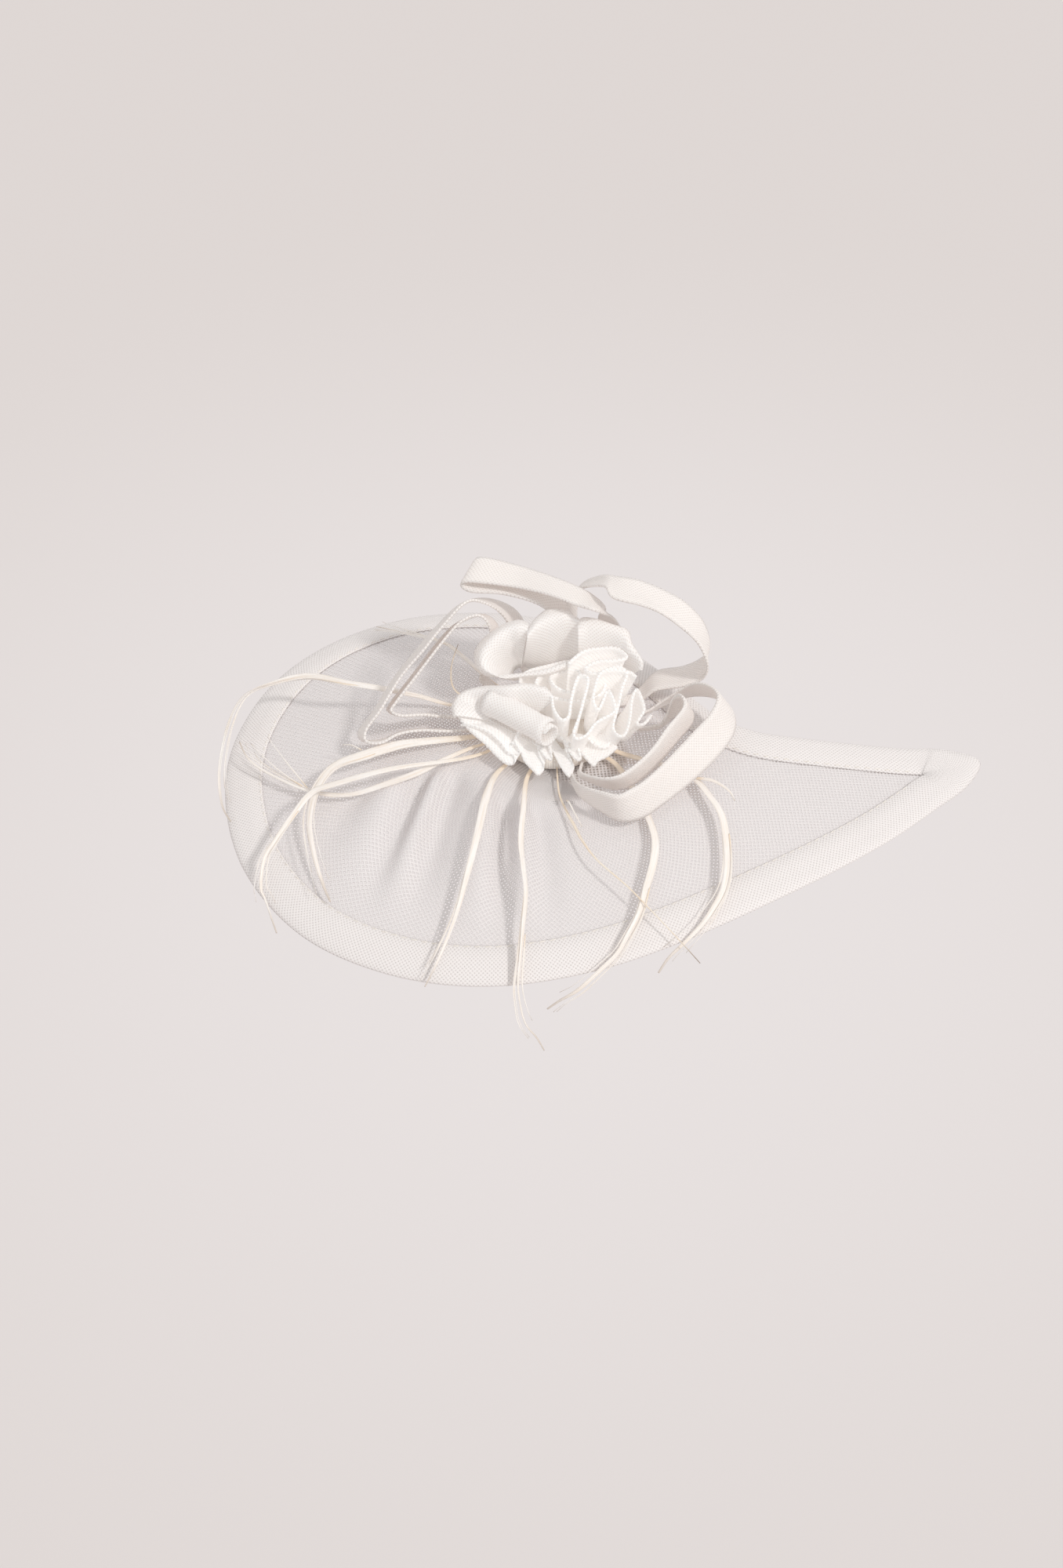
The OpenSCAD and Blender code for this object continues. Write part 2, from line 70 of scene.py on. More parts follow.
def buildStudio():
    camData = bpy.data.cameras.new("studioCamera")
    cam = bpy.data.objects.new("studioCamera", camData)
    scene.collection.objects.link(cam)
    tilt = math.radians(studio["elevation"])
    aim = Vector(studio["aim"]) * mm
    reach = studio["distance"] * mm
    cam.location = aim + Vector((0, -math.cos(tilt), math.sin(tilt))) * reach
    cam.rotation_euler = (math.pi / 2 - tilt, 0, 0)
    camData.sensor_fit = "VERTICAL"
    camData.sensor_height = 36
    camData.lens = studio["lens"]
    camData.clip_start = 0.01
    camData.clip_end = 50
    scene.camera = cam

    bpy.ops.object.select_all(action="DESELECT")
    bpy.ops.mesh.primitive_plane_add(size=40, location=(0, 0, -studio["floorDrop"] * mm))
    floor = bpy.context.object
    floor.name = "studioFloor"
    bpy.ops.object.transform_apply(location=True, rotation=True, scale=True)
    paper = bpy.data.materials.new("studioPaper")
    paper.use_nodes = True
    shader = paper.node_tree.nodes["Principled BSDF"]
    tree = paper.node_tree
    # painted shade: the paper colour darkens with distance from the middle of the view
    where = tree.nodes.new("ShaderNodeTexCoord")
    centre = tree.nodes.new("ShaderNodeVectorMath")
    centre.operation = "DISTANCE"
    centre.inputs[1].default_value = (0.05, studio["floorDrop"] * mm - 0.1, -studio["floorDrop"] * mm)
    fall = tree.nodes.new("ShaderNodeMapRange")
    fall.interpolation_type = "SMOOTHSTEP"
    fall.inputs["From Min"].default_value = 0.15
    fall.inputs["From Max"].default_value = 1.3
    mix = tree.nodes.new("ShaderNodeMix")
    mix.data_type = "RGBA"
    mix.inputs["A"].default_value = (*studio["floorColour"], 1)
    mix.inputs["B"].default_value = (*studio["cornerShadeColour"], 1)
    tree.links.new(where.outputs["Object"], centre.inputs[0])
    tree.links.new(centre.outputs["Value"], fall.inputs["Value"])
    tree.links.new(fall.outputs["Result"], mix.inputs["Factor"])
    tree.links.new(mix.outputs["Result"], shader.inputs["Base Color"])
    shader.inputs["Roughness"].default_value = 0.9
    shader.inputs["Specular IOR Level"].default_value = 0.1
    floor.data.materials.append(paper)

    sunData = bpy.data.lights.new("keyLight", "SUN")
    sunData.energy = studio["sunStrength"]
    sunData.angle = math.radians(studio["sunAngle"])
    sunData.color = (1.0, 0.985, 0.96)
    sun = bpy.data.objects.new("keyLight", sunData)
    sun.rotation_euler = Vector(studio["sunFrom"]).to_track_quat("Z", "Y").to_euler()
    scene.collection.objects.link(sun)

    world = bpy.data.worlds.new("studioSky")
    world.use_nodes = True
    back = world.node_tree.nodes["Background"]
    back.inputs["Color"].default_value = (*studio["skyColour"], 1)
    back.inputs["Strength"].default_value = studio["skyStrength"]
    scene.world = world
    scene.view_settings.view_transform = "Standard"
    scene.cycles.transparent_max_bounces = 32     # light passes many layers of open weave
    scene.cycles.diffuse_bounces = 12            # pale cloth keeps its light deep between the frills
    scene.cycles.max_bounces = 20
    print("studio ready")


buildStudio()


# Materials

# Short calls for one material's node tree
class Nodes:
    def __init__(self, name):
        self.material = bpy.data.materials.new(name)
        self.material.use_nodes = True
        self.tree = self.material.node_tree
        self.shader = self.tree.nodes["Principled BSDF"]
        self.out = self.tree.nodes["Material Output"]

    def add(self, kind, **values):
        node = self.tree.nodes.new(kind)
        for key, value in values.items():
            setattr(node, key, value)
        return node

    def link(self, source, target):
        self.tree.links.new(source, target)

    def feed(self, socket, value):
        if isinstance(value, bpy.types.NodeSocket):
            self.link(value, socket)
        elif value is not None:
            socket.default_value = value

    def calc(self, operation, a, b=None, c=None):
        node = self.add("ShaderNodeMath", operation=operation)
        for socket, value in zip(node.inputs, (a, b, c)):
            self.feed(socket, value)
        return node.outputs[0]

    def ramp(self, value, low, high, fromTo=(0, 1)):
        node = self.add("ShaderNodeMapRange", interpolation_type="SMOOTHSTEP")
        self.feed(node.inputs["Value"], value)
        node.inputs["From Min"].default_value = low
        node.inputs["From Max"].default_value = high
        node.inputs["To Min"].default_value = fromTo[0]
        node.inputs["To Max"].default_value = fromTo[1]
        return node.outputs[0]

    def noise(self, vector, scale, detail=3.0):
        node = self.add("ShaderNodeTexNoise")
        self.feed(node.inputs["Vector"], vector)
        node.inputs["Scale"].default_value = scale
        node.inputs["Detail"].default_value = detail
        return node.outputs["Fac"]

    def blend(self, share, a, b):
        node = self.add("ShaderNodeMix", data_type="RGBA")
        self.feed(node.inputs["Factor"], share)
        self.feed(node.inputs["A"], a)
        self.feed(node.inputs["B"], b)
        return node.outputs["Result"]

    def bump(self, height, strength, distance):
        node = self.add("ShaderNodeBump")
        node.inputs["Strength"].default_value = strength
        node.inputs["Distance"].default_value = distance
        self.link(height, node.inputs["Height"])
        self.link(node.outputs["Normal"], self.shader.inputs["Normal"])

    def settle(self, **values):
        for key, value in values.items():
            self.shader.inputs[key].default_value = value
        return self.material


weaves = {
    # pitch in mm, cover = thread width as a share of the pitch, turn = degrees from the piece's length,
    # gap = how much of the space between threads is open, glow = light that comes through,
    # relief = bump strength, lit = painted glow (emission), tint = colour at the thread crowns,
    # the darker colour = painted shade on the thread flanks, the under-crossings and round the gaps
    "brim": dict(pitch=1.45, cover=0.54, turn=-6, gap=1.0, glow=0.25, relief=0.45, lit=0.0,
                 tint=(0.87, 0.845, 0.845), darkToneAndShade=(0.77, 0.735, 0.73)),
    "binding": dict(pitch=1.2, cover=0.72, turn=45, gap=0.14, glow=0.12, relief=0.5, lit=0.0,
                 tint=(0.92, 0.885, 0.875), darkToneAndShade=(0.78, 0.735, 0.72)),
    "ribbon": dict(pitch=1.15, cover=0.76, turn=45, gap=0.08, glow=0.2, relief=0.5, lit=0.02,
                 tint=(0.95, 0.92, 0.90), darkToneAndShade=(0.84, 0.79, 0.76)),
    # painted light: the frill entry is the ruffle sinamay again, made lighter and given more painted glow; the ruffle
    # entry is its darker copy for the cup
    "ruffle": dict(pitch=1.15, cover=0.70, turn=45, gap=0.12, glow=0.3, relief=0.55, lit=0.055,
                 tint=(0.975, 0.965, 0.96), darkToneAndShade=(0.89, 0.855, 0.83)),
    "frill": dict(pitch=1.15, cover=0.72, turn=45, gap=0.1, glow=0.3, relief=0.6, lit=0.105,
                 tint=(0.98, 0.975, 0.972), darkToneAndShade=(0.915, 0.895, 0.88)),
}


def wovenCloth(name, spec):
    n = Nodes(name)
    uv = n.add("ShaderNodeUVMap", uv_map="clothMap")
    turned = n.add("ShaderNodeMapping")
    turned.inputs["Rotation"].default_value = (0, 0, math.radians(spec["turn"]))
    repeat = 1 / (spec["pitch"] * mm)
    turned.inputs["Scale"].default_value = (repeat, repeat, 1)
    n.link(uv.outputs["UV"], turned.inputs["Vector"])
    waver = n.noise(turned.outputs["Vector"], 0.35, 1.0)
    split = n.add("ShaderNodeSeparateXYZ")
    n.link(turned.outputs["Vector"], split.inputs[0])
    sway = n.calc("MULTIPLY", n.calc("SUBTRACT", waver, 0.5), 0.25)
    across = n.calc("ADD", split.outputs[0], sway)
    along = n.calc("ADD", split.outputs[1], sway)
    half = spec["cover"] / 2
    heights, masks = [], []
    for side, other, sign in ((across, along, 1), (along, across, -1)):
        off = n.calc("PINGPONG", side, 0.5)
        mask = n.ramp(off, half - 0.07, half + 0.07, (1, 0))
        number = n.calc("ROUND", side)
        over = n.calc("COSINE", n.calc("MULTIPLY", n.calc("ADD", other, number), math.pi))
        crown = n.calc("SUBTRACT", 1.0, n.calc("DIVIDE", off, half))
        lift = n.calc("ADD", n.calc("MULTIPLY", over, 0.25 * sign), 0.5)
        heights.append(n.calc("MULTIPLY", mask, n.calc("ADD", n.calc("MULTIPLY", crown, 0.25), lift)))
        masks.append(mask)
    height = n.calc("MAXIMUM", *heights)
    cover = n.calc("MAXIMUM", *masks)
    mottle = n.noise(uv.outputs["UV"], 60.0)
    # painted shade: each thread is lighter at its crown and where it crosses over, and turns to the darker colour on
    # its flanks, where it passes under and round the gaps; the mottle adds random tone
    shade = n.calc("MULTIPLY", n.ramp(height, 0.1, 0.95), n.ramp(mottle, 0.1, 0.6, (0.86, 1.0)))
    colour = n.blend(shade, (*spec["darkToneAndShade"], 1), (*spec["tint"], 1))
    n.link(colour, n.shader.inputs["Base Color"])
    n.bump(height, spec["relief"], 0.35 * mm)
    n.settle(Roughness=0.5)
    n.shader.inputs["Specular IOR Level"].default_value = 0.35
    n.shader.inputs["Emission Color"].default_value = (1.0, 0.96, 0.92, 1)
    n.shader.inputs["Emission Strength"].default_value = spec["lit"]     # painted glow: emission that brightens the pale cloth and its hollows beyond what the lamps give
    through = n.add("ShaderNodeBsdfTranslucent")
    n.link(colour, through.inputs["Color"])
    body = n.add("ShaderNodeMixShader")
    body.inputs[0].default_value = spec["glow"]
    n.link(n.shader.outputs[0], body.inputs[1])
    n.link(through.outputs[0], body.inputs[2])
    clear = n.add("ShaderNodeBsdfTransparent")
    cut = n.add("ShaderNodeMixShader")
    open_ = n.calc("MULTIPLY", n.calc("SUBTRACT", 1.0, cover), spec["gap"])
    n.link(open_, cut.inputs[0])
    n.link(body.outputs[0], cut.inputs[1])
    n.link(clear.outputs[0], cut.inputs[2])
    n.link(cut.outputs[0], n.out.inputs["Surface"])
    return n.material


def featherBarbs(name, tint, darkToneAndShade, tip, root=(0.94, 0.83, 0.68)):
    n = Nodes(name)
    uv = n.add("ShaderNodeUVMap", uv_map="clothMap")
    stretch = n.add("ShaderNodeMapping")
    stretch.inputs["Scale"].default_value = (60, 2600, 1)
    n.link(uv.outputs["UV"], stretch.inputs["Vector"])
    streak = n.noise(stretch.outputs["Vector"], 1.0, 4.0)
    rest = n.add("ShaderNodeAttribute", attribute_name="along")
    alongFeather = rest.outputs["Fac"]
    base = n.blend(n.ramp(streak, 0.36, 0.58), (*darkToneAndShade, 1), (*tint, 1))
    rooted = n.blend(n.ramp(alongFeather, 0.0, 0.22, (1, 0)), base, (*root, 1))
    tipped = n.blend(n.ramp(alongFeather, 0.88, 1.0, (0, 0.8)), rooted, (*tip, 1))
    n.link(tipped, n.shader.inputs["Base Color"])
    n.bump(streak, 0.4, 0.2 * mm)
    n.settle(Roughness=0.42)
    n.shader.inputs["Specular IOR Level"].default_value = 0.4
    n.shader.inputs["Sheen Weight"].default_value = 0.15
    through = n.add("ShaderNodeBsdfTranslucent")
    n.link(tipped, through.inputs["Color"])
    body = n.add("ShaderNodeMixShader")
    body.inputs[0].default_value = 0.28
    n.link(n.shader.outputs[0], body.inputs[1])
    n.link(through.outputs[0], body.inputs[2])
    n.link(body.outputs[0], n.out.inputs["Surface"])
    return n.material


def paddedCloth(name, tint, darkToneAndShade):
    n = Nodes(name)
    place = n.add("ShaderNodeTexCoord").outputs["Object"]
    wave = []
    for axis in ("X", "Y"):
        band = n.add("ShaderNodeTexWave", bands_direction=axis)
        band.inputs["Scale"].default_value = 300
        band.inputs["Distortion"].default_value = 0.6
        n.link(place, band.inputs["Vector"])
        wave.append(band.outputs["Fac"])
    threads = n.calc("MULTIPLY", *wave)
    n.link(n.blend(threads, (*darkToneAndShade, 1), (*tint, 1)), n.shader.inputs["Base Color"])
    n.bump(threads, 0.5, 0.2 * mm)
    n.settle(Roughness=0.8)
    return n.material


def metalFinish(name, tint, roughness, metallic=1.0, scale=900.0):
    n = Nodes(name)
    place = n.add("ShaderNodeTexCoord").outputs["Object"]
    grain = n.noise(place, scale, 4.0)
    worn = n.noise(place, scale / 6, 2.0)
    colour = n.blend(n.ramp(worn, 0.45, 0.75), (*tint, 1), (*[min(1, c * 1.5 + 0.02) for c in tint], 1))
    n.link(colour, n.shader.inputs["Base Color"])
    n.link(n.ramp(grain, 0.2, 0.8, (roughness - 0.08, roughness + 0.1)), n.shader.inputs["Roughness"])
    n.bump(grain, 0.15, 0.05 * mm)
    n.settle(Metallic=metallic)
    return n.material


def threadFinish(name, tint, darkToneAndShade):
    n = Nodes(name)
    place = n.add("ShaderNodeTexCoord").outputs["Object"]
    twist = n.add("ShaderNodeTexWave", bands_direction="DIAGONAL")
    twist.inputs["Scale"].default_value = 900
    n.link(place, twist.inputs["Vector"])
    n.link(n.blend(twist.outputs["Fac"], (*darkToneAndShade, 1), (*tint, 1)), n.shader.inputs["Base Color"])
    n.bump(twist.outputs["Fac"], 0.4, 0.08 * mm)
    n.settle(Roughness=0.6)
    return n.material


brimCloth = wovenCloth("brimSinamay", weaves["brim"])
bindingCloth = wovenCloth("bindingSinamay", weaves["binding"])
ribbonCloth = wovenCloth("ribbonSinamay", weaves["ribbon"])
shadedRuffleCloth = wovenCloth("shadedRuffleSinamay", weaves["ruffle"])
litRuffleCloth = wovenCloth("litRuffleSinamay", weaves["frill"])
featherCream = featherBarbs("featherCream", (0.985, 0.965, 0.945), (0.935, 0.875, 0.81), (0.72, 0.64, 0.57))
quillHorn = featherBarbs("quillHorn", (0.93, 0.88, 0.80), (0.88, 0.76, 0.62), (0.35, 0.28, 0.24))
coverCloth = paddedCloth("coverCloth", (0.95, 0.92, 0.88), (0.80, 0.74, 0.68))
sewingThread = threadFinish("sewingThread", (0.95, 0.92, 0.87), (0.78, 0.72, 0.64))
darkThread = threadFinish("darkThread", (0.10, 0.085, 0.08), (0.04, 0.035, 0.03))
wireCotton = threadFinish("wireCotton", (0.93, 0.91, 0.88), (0.75, 0.72, 0.68))
clipBlack = metalFinish("clipBlack", (0.035, 0.032, 0.032), 0.38)
pinSteel = metalFinish("pinSteel", (0.56, 0.55, 0.53), 0.26)
springSteel = metalFinish("springSteel", (0.42, 0.41, 0.40), 0.30)
print("materials ready")


# Shapes shared by the cloth pieces

brim = {
    "rim": [
        (172, 16), (157, 19), (138, 16), (105, 15), (78, 17), (60, 28), (43, 50), (22, 76),
        (-5, 96), (-36, 107), (-70, 106), (-101, 90), (-124, 62), (-137, 24), (-137, -12),
        (-126, -48), (-102, -79), (-68, -98), (-30, -105), (10, -100), (48, -86), (90, -63),
        (126, -38), (152, -14), (166, 1)],
    "rimSteps": 9,
    "roundEnd": 137.0, "pointEnd": 165.0, "side": 105.0, "middle": 5.0,
    "crown": 4.0, "drop": 18.0, "flat": 34.0,
    "sheetThick": 0.16,
    "gather": (-4.0, -26.0), "gatherRadius": 1.5,
    "rings": 64,
    "foldFrom": (-20.0, 90.0), "foldHeight": 3.6, "foldStep": 9.5,
}


def smoothStep(x):
    x = min(1.0, max(0.0, x))
    return x * x * (3 - 2 * x)


def reach(x, y):
    out = math.hypot(x, y - brim["middle"])
    if out <= brim["flat"]:
        return 0.0
    end = brim["roundEnd"] if x < 0 else brim["pointEnd"]
    share = math.hypot(x / end, (y - brim["middle"]) / brim["side"])
    return (out - brim["flat"]) / (out / share - brim["flat"])


def smoothDome(x, y):
    return brim["crown"] - brim["drop"] * reach(x, y) ** 1.5


def foldHeight(x, y):
    far = reach(x, y)
    turn = math.degrees(math.atan2(x - brim["foldFrom"][0], brim["foldFrom"][1] - y))
    wave = math.cos(math.radians((turn + 7 + 1.5 * math.sin(turn * 0.35)) * 360 / brim["foldStep"]))
    shown = smoothStep(far * 7) * smoothStep((0.92 - far) * 2.0) * smoothStep((-y - 2) / 14)
    shown *= smoothStep((turn + 34) / 8) * smoothStep((9 - turn) / 7)
    return brim["foldHeight"] * shown * wave


def dome(x, y):
    return smoothDome(x, y) + foldHeight(x, y)


def curvePoint(a, b, c, d, u):
    return 0.5 * (2 * b + (c - a) * u + (2 * a - 5 * b + 4 * c - d) * u * u
                  + (3 * b - a - 3 * c + d) * u * u * u)


def smoothLine(points, steps, closed=False):
    points = [Vector(p) for p in points]
    count = len(points)
    line = []
    for i in range(count if closed else count - 1):
        around = [points[(i + k) % count] if closed else points[min(max(i + k, 0), count - 1)]
                  for k in (-1, 0, 1, 2)]
        line += [curvePoint(*around, k / steps) for k in range(steps)]
    return line if closed else line + [points[-1]]


def lineLengths(line):
    total = [0.0]
    for a, b in zip(line, line[1:]):
        total.append(total[-1] + (b - a).length)
    return total


def newPiece(name, points, faces, cornerUvs, material, along=None):
    mesh = bpy.data.meshes.new(name)
    mesh.from_pydata([p * mm for p in points], [], faces)
    layer = mesh.uv_layers.new(name="clothMap")
    corners = [uv for face in cornerUvs for uv in face]
    for loop, uv in zip(layer.data, corners):
        loop.uv = (uv[0] * mm, uv[1] * mm)
    if along:
        mesh.attributes.new("along", "FLOAT", "POINT").data.foreach_set("value", along)
    piece = bpy.data.objects.new(name, mesh)
    scene.collection.objects.link(piece)
    piece.data.materials.append(material)
    mesh.polygons.foreach_set("use_smooth", [True] * len(mesh.polygons))
    mesh.update()
    return piece


def applyModifier(piece, kind, **values):
    bpy.ops.object.select_all(action="DESELECT")
    bpy.context.view_layer.objects.active = piece
    piece.select_set(True)
    modifier = piece.modifiers.new(kind.title(), kind)
    for key, value in values.items():
        setattr(modifier, key, value)
    bpy.ops.object.modifier_apply(modifier=modifier.name)


# A strip folded double: rows of points across it become one flat tube with rounded edges
def foldedStrip(name, rows, thick, material, serrate=0.0, along=None, puff=(0.32, 0.62, 0.5)):
    count, wide = len(rows), len(rows[0])
    mids = [row[wide // 2] for row in rows]
    lengths = lineLengths(mids)
    normals = []
    for i in range(count):
        before, after = rows[max(i - 1, 0)], rows[min(i + 1, count - 1)]
        line = []
        for j in range(wide):
            runs = after[j] - before[j]
            spans = rows[i][min(j + 1, wide - 1)] - rows[i][max(j - 1, 0)]
            line.append(runs.cross(spans).normalized())
        normals.append(line)
    points, uvs, shares = [], [], []
    for i, row in enumerate(rows):
        widths = lineLengths(row)
        tooth = serrate * (1 if i % 2 else -1)
        ring = []
        for side in (1, -1):
            order = range(wide) if side == 1 else range(wide - 1, -1, -1)
            for j in order:
                edge = j in (0, wide - 1)
                swell = thick * (puff[0] if edge else puff[1] if j in (1, wide - 2) else puff[2])
                point = row[j] + normals[i][j] * side * swell
                if edge:
                    inner = row[1] if j == 0 else row[wide - 2]
                    point += (row[j] - inner).normalized() * tooth
                ring.append((point, (lengths[i], widths[j])))
        points += [p for p, uv in ring]
        uvs.append([uv for p, uv in ring])
        shares += [lengths[i] / lengths[-1]] * len(ring)
    size = 2 * wide
    faces, faceUvs = [], []
    for i in range(count - 1):
        for j in range(size):
            k = (j + 1) % size
            faces.append((i * size + j, i * size + k, (i + 1) * size + k, (i + 1) * size + j))
            faceUvs.append((uvs[i][j], uvs[i][k], uvs[i + 1][k], uvs[i + 1][j]))
    for i, flip in ((0, True), (count - 1, False)):
        for j in range(wide - 1):
            quad = [j, j + 1, size - 2 - j, size - 1 - j]
            quad = quad[::-1] if flip else quad
            faces.append(tuple(i * size + q for q in quad))
            faceUvs.append(tuple(uvs[i][q] for q in quad))
    piece = newPiece(name, points, faces, faceUvs, material, shares if along else None)
    bpy.ops.object.select_all(action="DESELECT")
    bpy.context.view_layer.objects.active = piece
    piece.select_set(True)
    bpy.ops.object.mode_set(mode="EDIT")
    bpy.ops.mesh.select_all(action="SELECT")
    bpy.ops.mesh.normals_make_consistent(inside=False)
    bpy.ops.object.mode_set(mode="OBJECT")
    return piece, lengths[-1]


def place(piece, slot, *nodes):
    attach(piece, "headpiece")
    if nodes:
        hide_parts(*nodes)
    return piece


# Brim sheet

binding = {"width": 14.5, "thick": 0.9, "inside": 0.28}


def leftOf(d):
    return Vector((-d.y, d.x))


rimLine = smoothLine(brim["rim"], brim["rimSteps"], closed=True)
rimCount = len(rimLine)
backStart = 2 * brim["rimSteps"]
frontEnd = 23 * brim["rimSteps"]


def rimDir(i):
    return (rimLine[(i + 1) % rimCount] - rimLine[i % rimCount]).normalized()


def hemAt(i, width):
    return rimLine[i] + leftOf(rimDir(i)) * width


def meet(p, d, q, e):
    return p + d * ((q - p).cross(e) / d.cross(e))


mitre = meet(hemAt(backStart, binding["width"]), rimDir(backStart),
             hemAt(frontEnd - 1, binding["width"]), rimDir(frontEnd - 1))


def pastMitre(i):
    return rimLine[i].x > 77 and hemAt(i, binding["width"]).x > mitre.x


def insetLine(width):
    line = []
    for i, p in enumerate(rimLine):
        if pastMitre(i):
            line.append(p + (mitre - p) * 0.97 * width / binding["width"])
        else:
            tangent = (rimDir(i) + rimDir(i + rimCount - 1)).normalized()
            line.append(p + leftOf(tangent) * width)
    return line


grain = {"centre": (-4.0, -14.0), "keep": 0.31, "far": 145.0, "frontTurn": -20.0, "seam": 70.0}


# Where a point of the brim lay in the flat cloth before it was gathered round the trimming
def clothPlace(x, y, near):
    dx, dy = x - grain["centre"][0], y - grain["centre"][1]
    out = math.hypot(dx, dy)
    unwrapped = math.degrees(math.atan2(dy, dx))
    unwrapped += 360 * round((near - unwrapped) / 360)
    start = grain["frontTurn"]
    if unwrapped > start:
        return dx, dy
    axis = math.radians(start)
    flat = math.radians(start + grain["keep"] * (unwrapped - start))
    far = grain["far"]
    return ((far + out) * math.cos(flat) - far * math.cos(axis),
            (far + out) * math.sin(flat) - far * math.sin(axis))


# The turn of a point about the grain's centre, cut at the seam
def grainTurn(p):
    turn = math.degrees(math.atan2(p.y - grain["centre"][1], p.x - grain["centre"][0]))
    return turn - 360 if turn > grain["seam"] else turn


def buildBrimSheet():
    edge = insetLine(1.6)
    gather = Vector(brim["gather"])
    order = [i for i in range(rimCount - 1, -1, -1) if not pastMitre(i)]
    rings = brim["rings"]
    points = []
    hem = insetLine(binding["width"])
    for i in order:
        inner = gather + (hem[i] - gather).normalized() * brim["gatherRadius"]
        cloth = rings - 8
        line = [inner.lerp(hem[i], (k / cloth)) for k in range(cloth)]
        line += [hem[i].lerp(edge[i], k / 8) for k in range(9)]
        points += [Vector((p.x, p.y, dome(p.x, p.y))) for p in line]
    size = rings + 1
    faces, uvs = [], []
    for i in range(len(order)):
        nextRow = (i + 1) % len(order)
        for k in range(size - 1):
            corners = [r * size + c for r, c in ((nextRow, k), (nextRow, k + 1), (i, k + 1), (i, k))]
            near = grainTurn(sum((points[c] for c in corners), Vector()) / 4)
            faces.append(tuple(corners))
            uvs.append([clothPlace(points[c].x, points[c].y, near) for c in corners])
        corners = (nextRow * size, i * size, len(order) * size)
        near = grainTurn(points[i * size])
        faces.append(corners)
        uvs.append([clothPlace(*(points[c].xy if c < len(points) else gather), near) for c in corners])
    points.append(Vector((gather.x, gather.y, dome(gather.x, gather.y))))     # one point closes the centre
    sheet = newPiece("brimSheet", points, faces, uvs, brimCloth)
    applyModifier(sheet, "SOLIDIFY", thickness=brim["sheetThick"] * mm, offset=0.0)
    place(sheet, "open_weave", "brim_panel")


buildBrimSheet()
print("brim sheet ready")


# Edge binding

# One cross-section of the folded strip, from its upper hem round the rim to its lower hem
lap = {"from": 10, "height": 0.45}
stitch = {"fromHem": 0.9, "every": 4.2, "long": 2.4, "thick": 0.32}


def bindingSection(i, lines, lift):
    inner, outer = binding["inside"], binding["inside"] + binding["thick"]
    hem, mid, rim, nose = (line[i] for line in lines)
    up = lambda p, z: Vector((p.x, p.y, dome(p.x, p.y) + z))
    return [
        up(hem, inner + 0.25 + lift), up(hem.lerp(mid, 0.12), outer + lift), up(mid, outer + lift),
        up(mid.lerp(rim, 0.6), outer + lift), up(rim, outer * 0.86 + lift),
        up(rim.lerp(nose, 0.7), outer * 0.45 + lift * 0.5),
        up(nose, 0), up(rim.lerp(nose, 0.7), -outer * 0.45), up(rim, -outer * 0.86),
        up(mid.lerp(rim, 0.6), -outer), up(mid, -outer), up(hem.lerp(mid, 0.12), -outer), up(hem, -inner - 0.25),
        up(hem, -inner), up(mid, -inner), up(rim, -inner * 0.8), up(rim, inner * 0.8), up(mid, inner), up(hem, inner),
    ]


# The front strip wraps the point and lies over the start of the back strip
def lapLift(i):
    onTop = i >= frontEnd or i <= lap["from"]
    return lap["height"] if onTop else 0.0


def layStitch(points, faces, uvs, middle, runs, long, thick, height):
    side = leftOf(runs)
    base = len(points)
    for step in range(5):
        t = step / 4 - 0.5
        p = middle + runs * long * t + side * 0.25 * t
        z = dome(p.x, p.y) + height - 0.9 * t * t
        for a in range(6):
            turn = a * math.pi / 3
            flat = p + side * math.cos(turn) * thick / 2
            points.append(Vector((flat.x, flat.y, z + math.sin(turn) * thick / 2)))
    for step in range(4):
        for a in range(6):
            b = (a + 1) % 6
            faces.append((base + step * 6 + a, base + step * 6 + b, base + step * 6 + 6 + b, base + step * 6 + 6 + a))
    faces.append(tuple(base + a for a in range(5, -1, -1)))
    faces.append(tuple(base + 24 + a for a in range(6)))
    uvs += [[(0, 0)] * len(face) for face in faces[len(uvs):]]


# Dark sewing that holds the brim to the disc under it
darkSewing = {"long": 2.0, "thick": 0.5, "under": 0.42, "at": [
    (-3.4, -19.0, 20), (-1.2, -20.4, 75), (-0.2, -18.2, 140), (1.6, -22.0, 50), (-2.2, -22.0, 110), (14.2, -12.3, 30)]}


def buildDarkSewing():
    points, faces, uvs = [], [], []
    for x, y, turn in darkSewing["at"]:
        runs = Vector((math.cos(math.radians(turn)), math.sin(math.radians(turn))))
        layStitch(points, faces, uvs, Vector((x, y)), runs, darkSewing["long"], darkSewing["thick"],
                  -darkSewing["under"])
    piece = newPiece("darkSewing", points, faces, uvs, darkThread)
    tidyNormals(piece)
    place(piece, "thread")


def buildStitches():
    line = insetLine(binding["width"] - stitch["fromHem"])
    lengths = lineLengths(line + [line[0]])
    total = lengths[-1]
    count = int(total / stitch["every"])
    points, faces, uvs = [], [], []
    k = 0
    for number in range(count):
        at = number * stitch["every"]
        while lengths[k + 1] < at:
            k += 1
        if pastMitre(k):
            continue
        runs = (line[(k + 1) % rimCount] - line[k]).normalized()
        middle = line[k] + runs * (at - lengths[k])
        layStitch(points, faces, uvs, middle, runs, stitch["long"], stitch["thick"],
                  binding["inside"] + binding["thick"] + 0.12)
    piece = newPiece("edgeStitches", points, faces, uvs, sewingThread)
    tidyNormals(piece)
    place(piece, "thread")


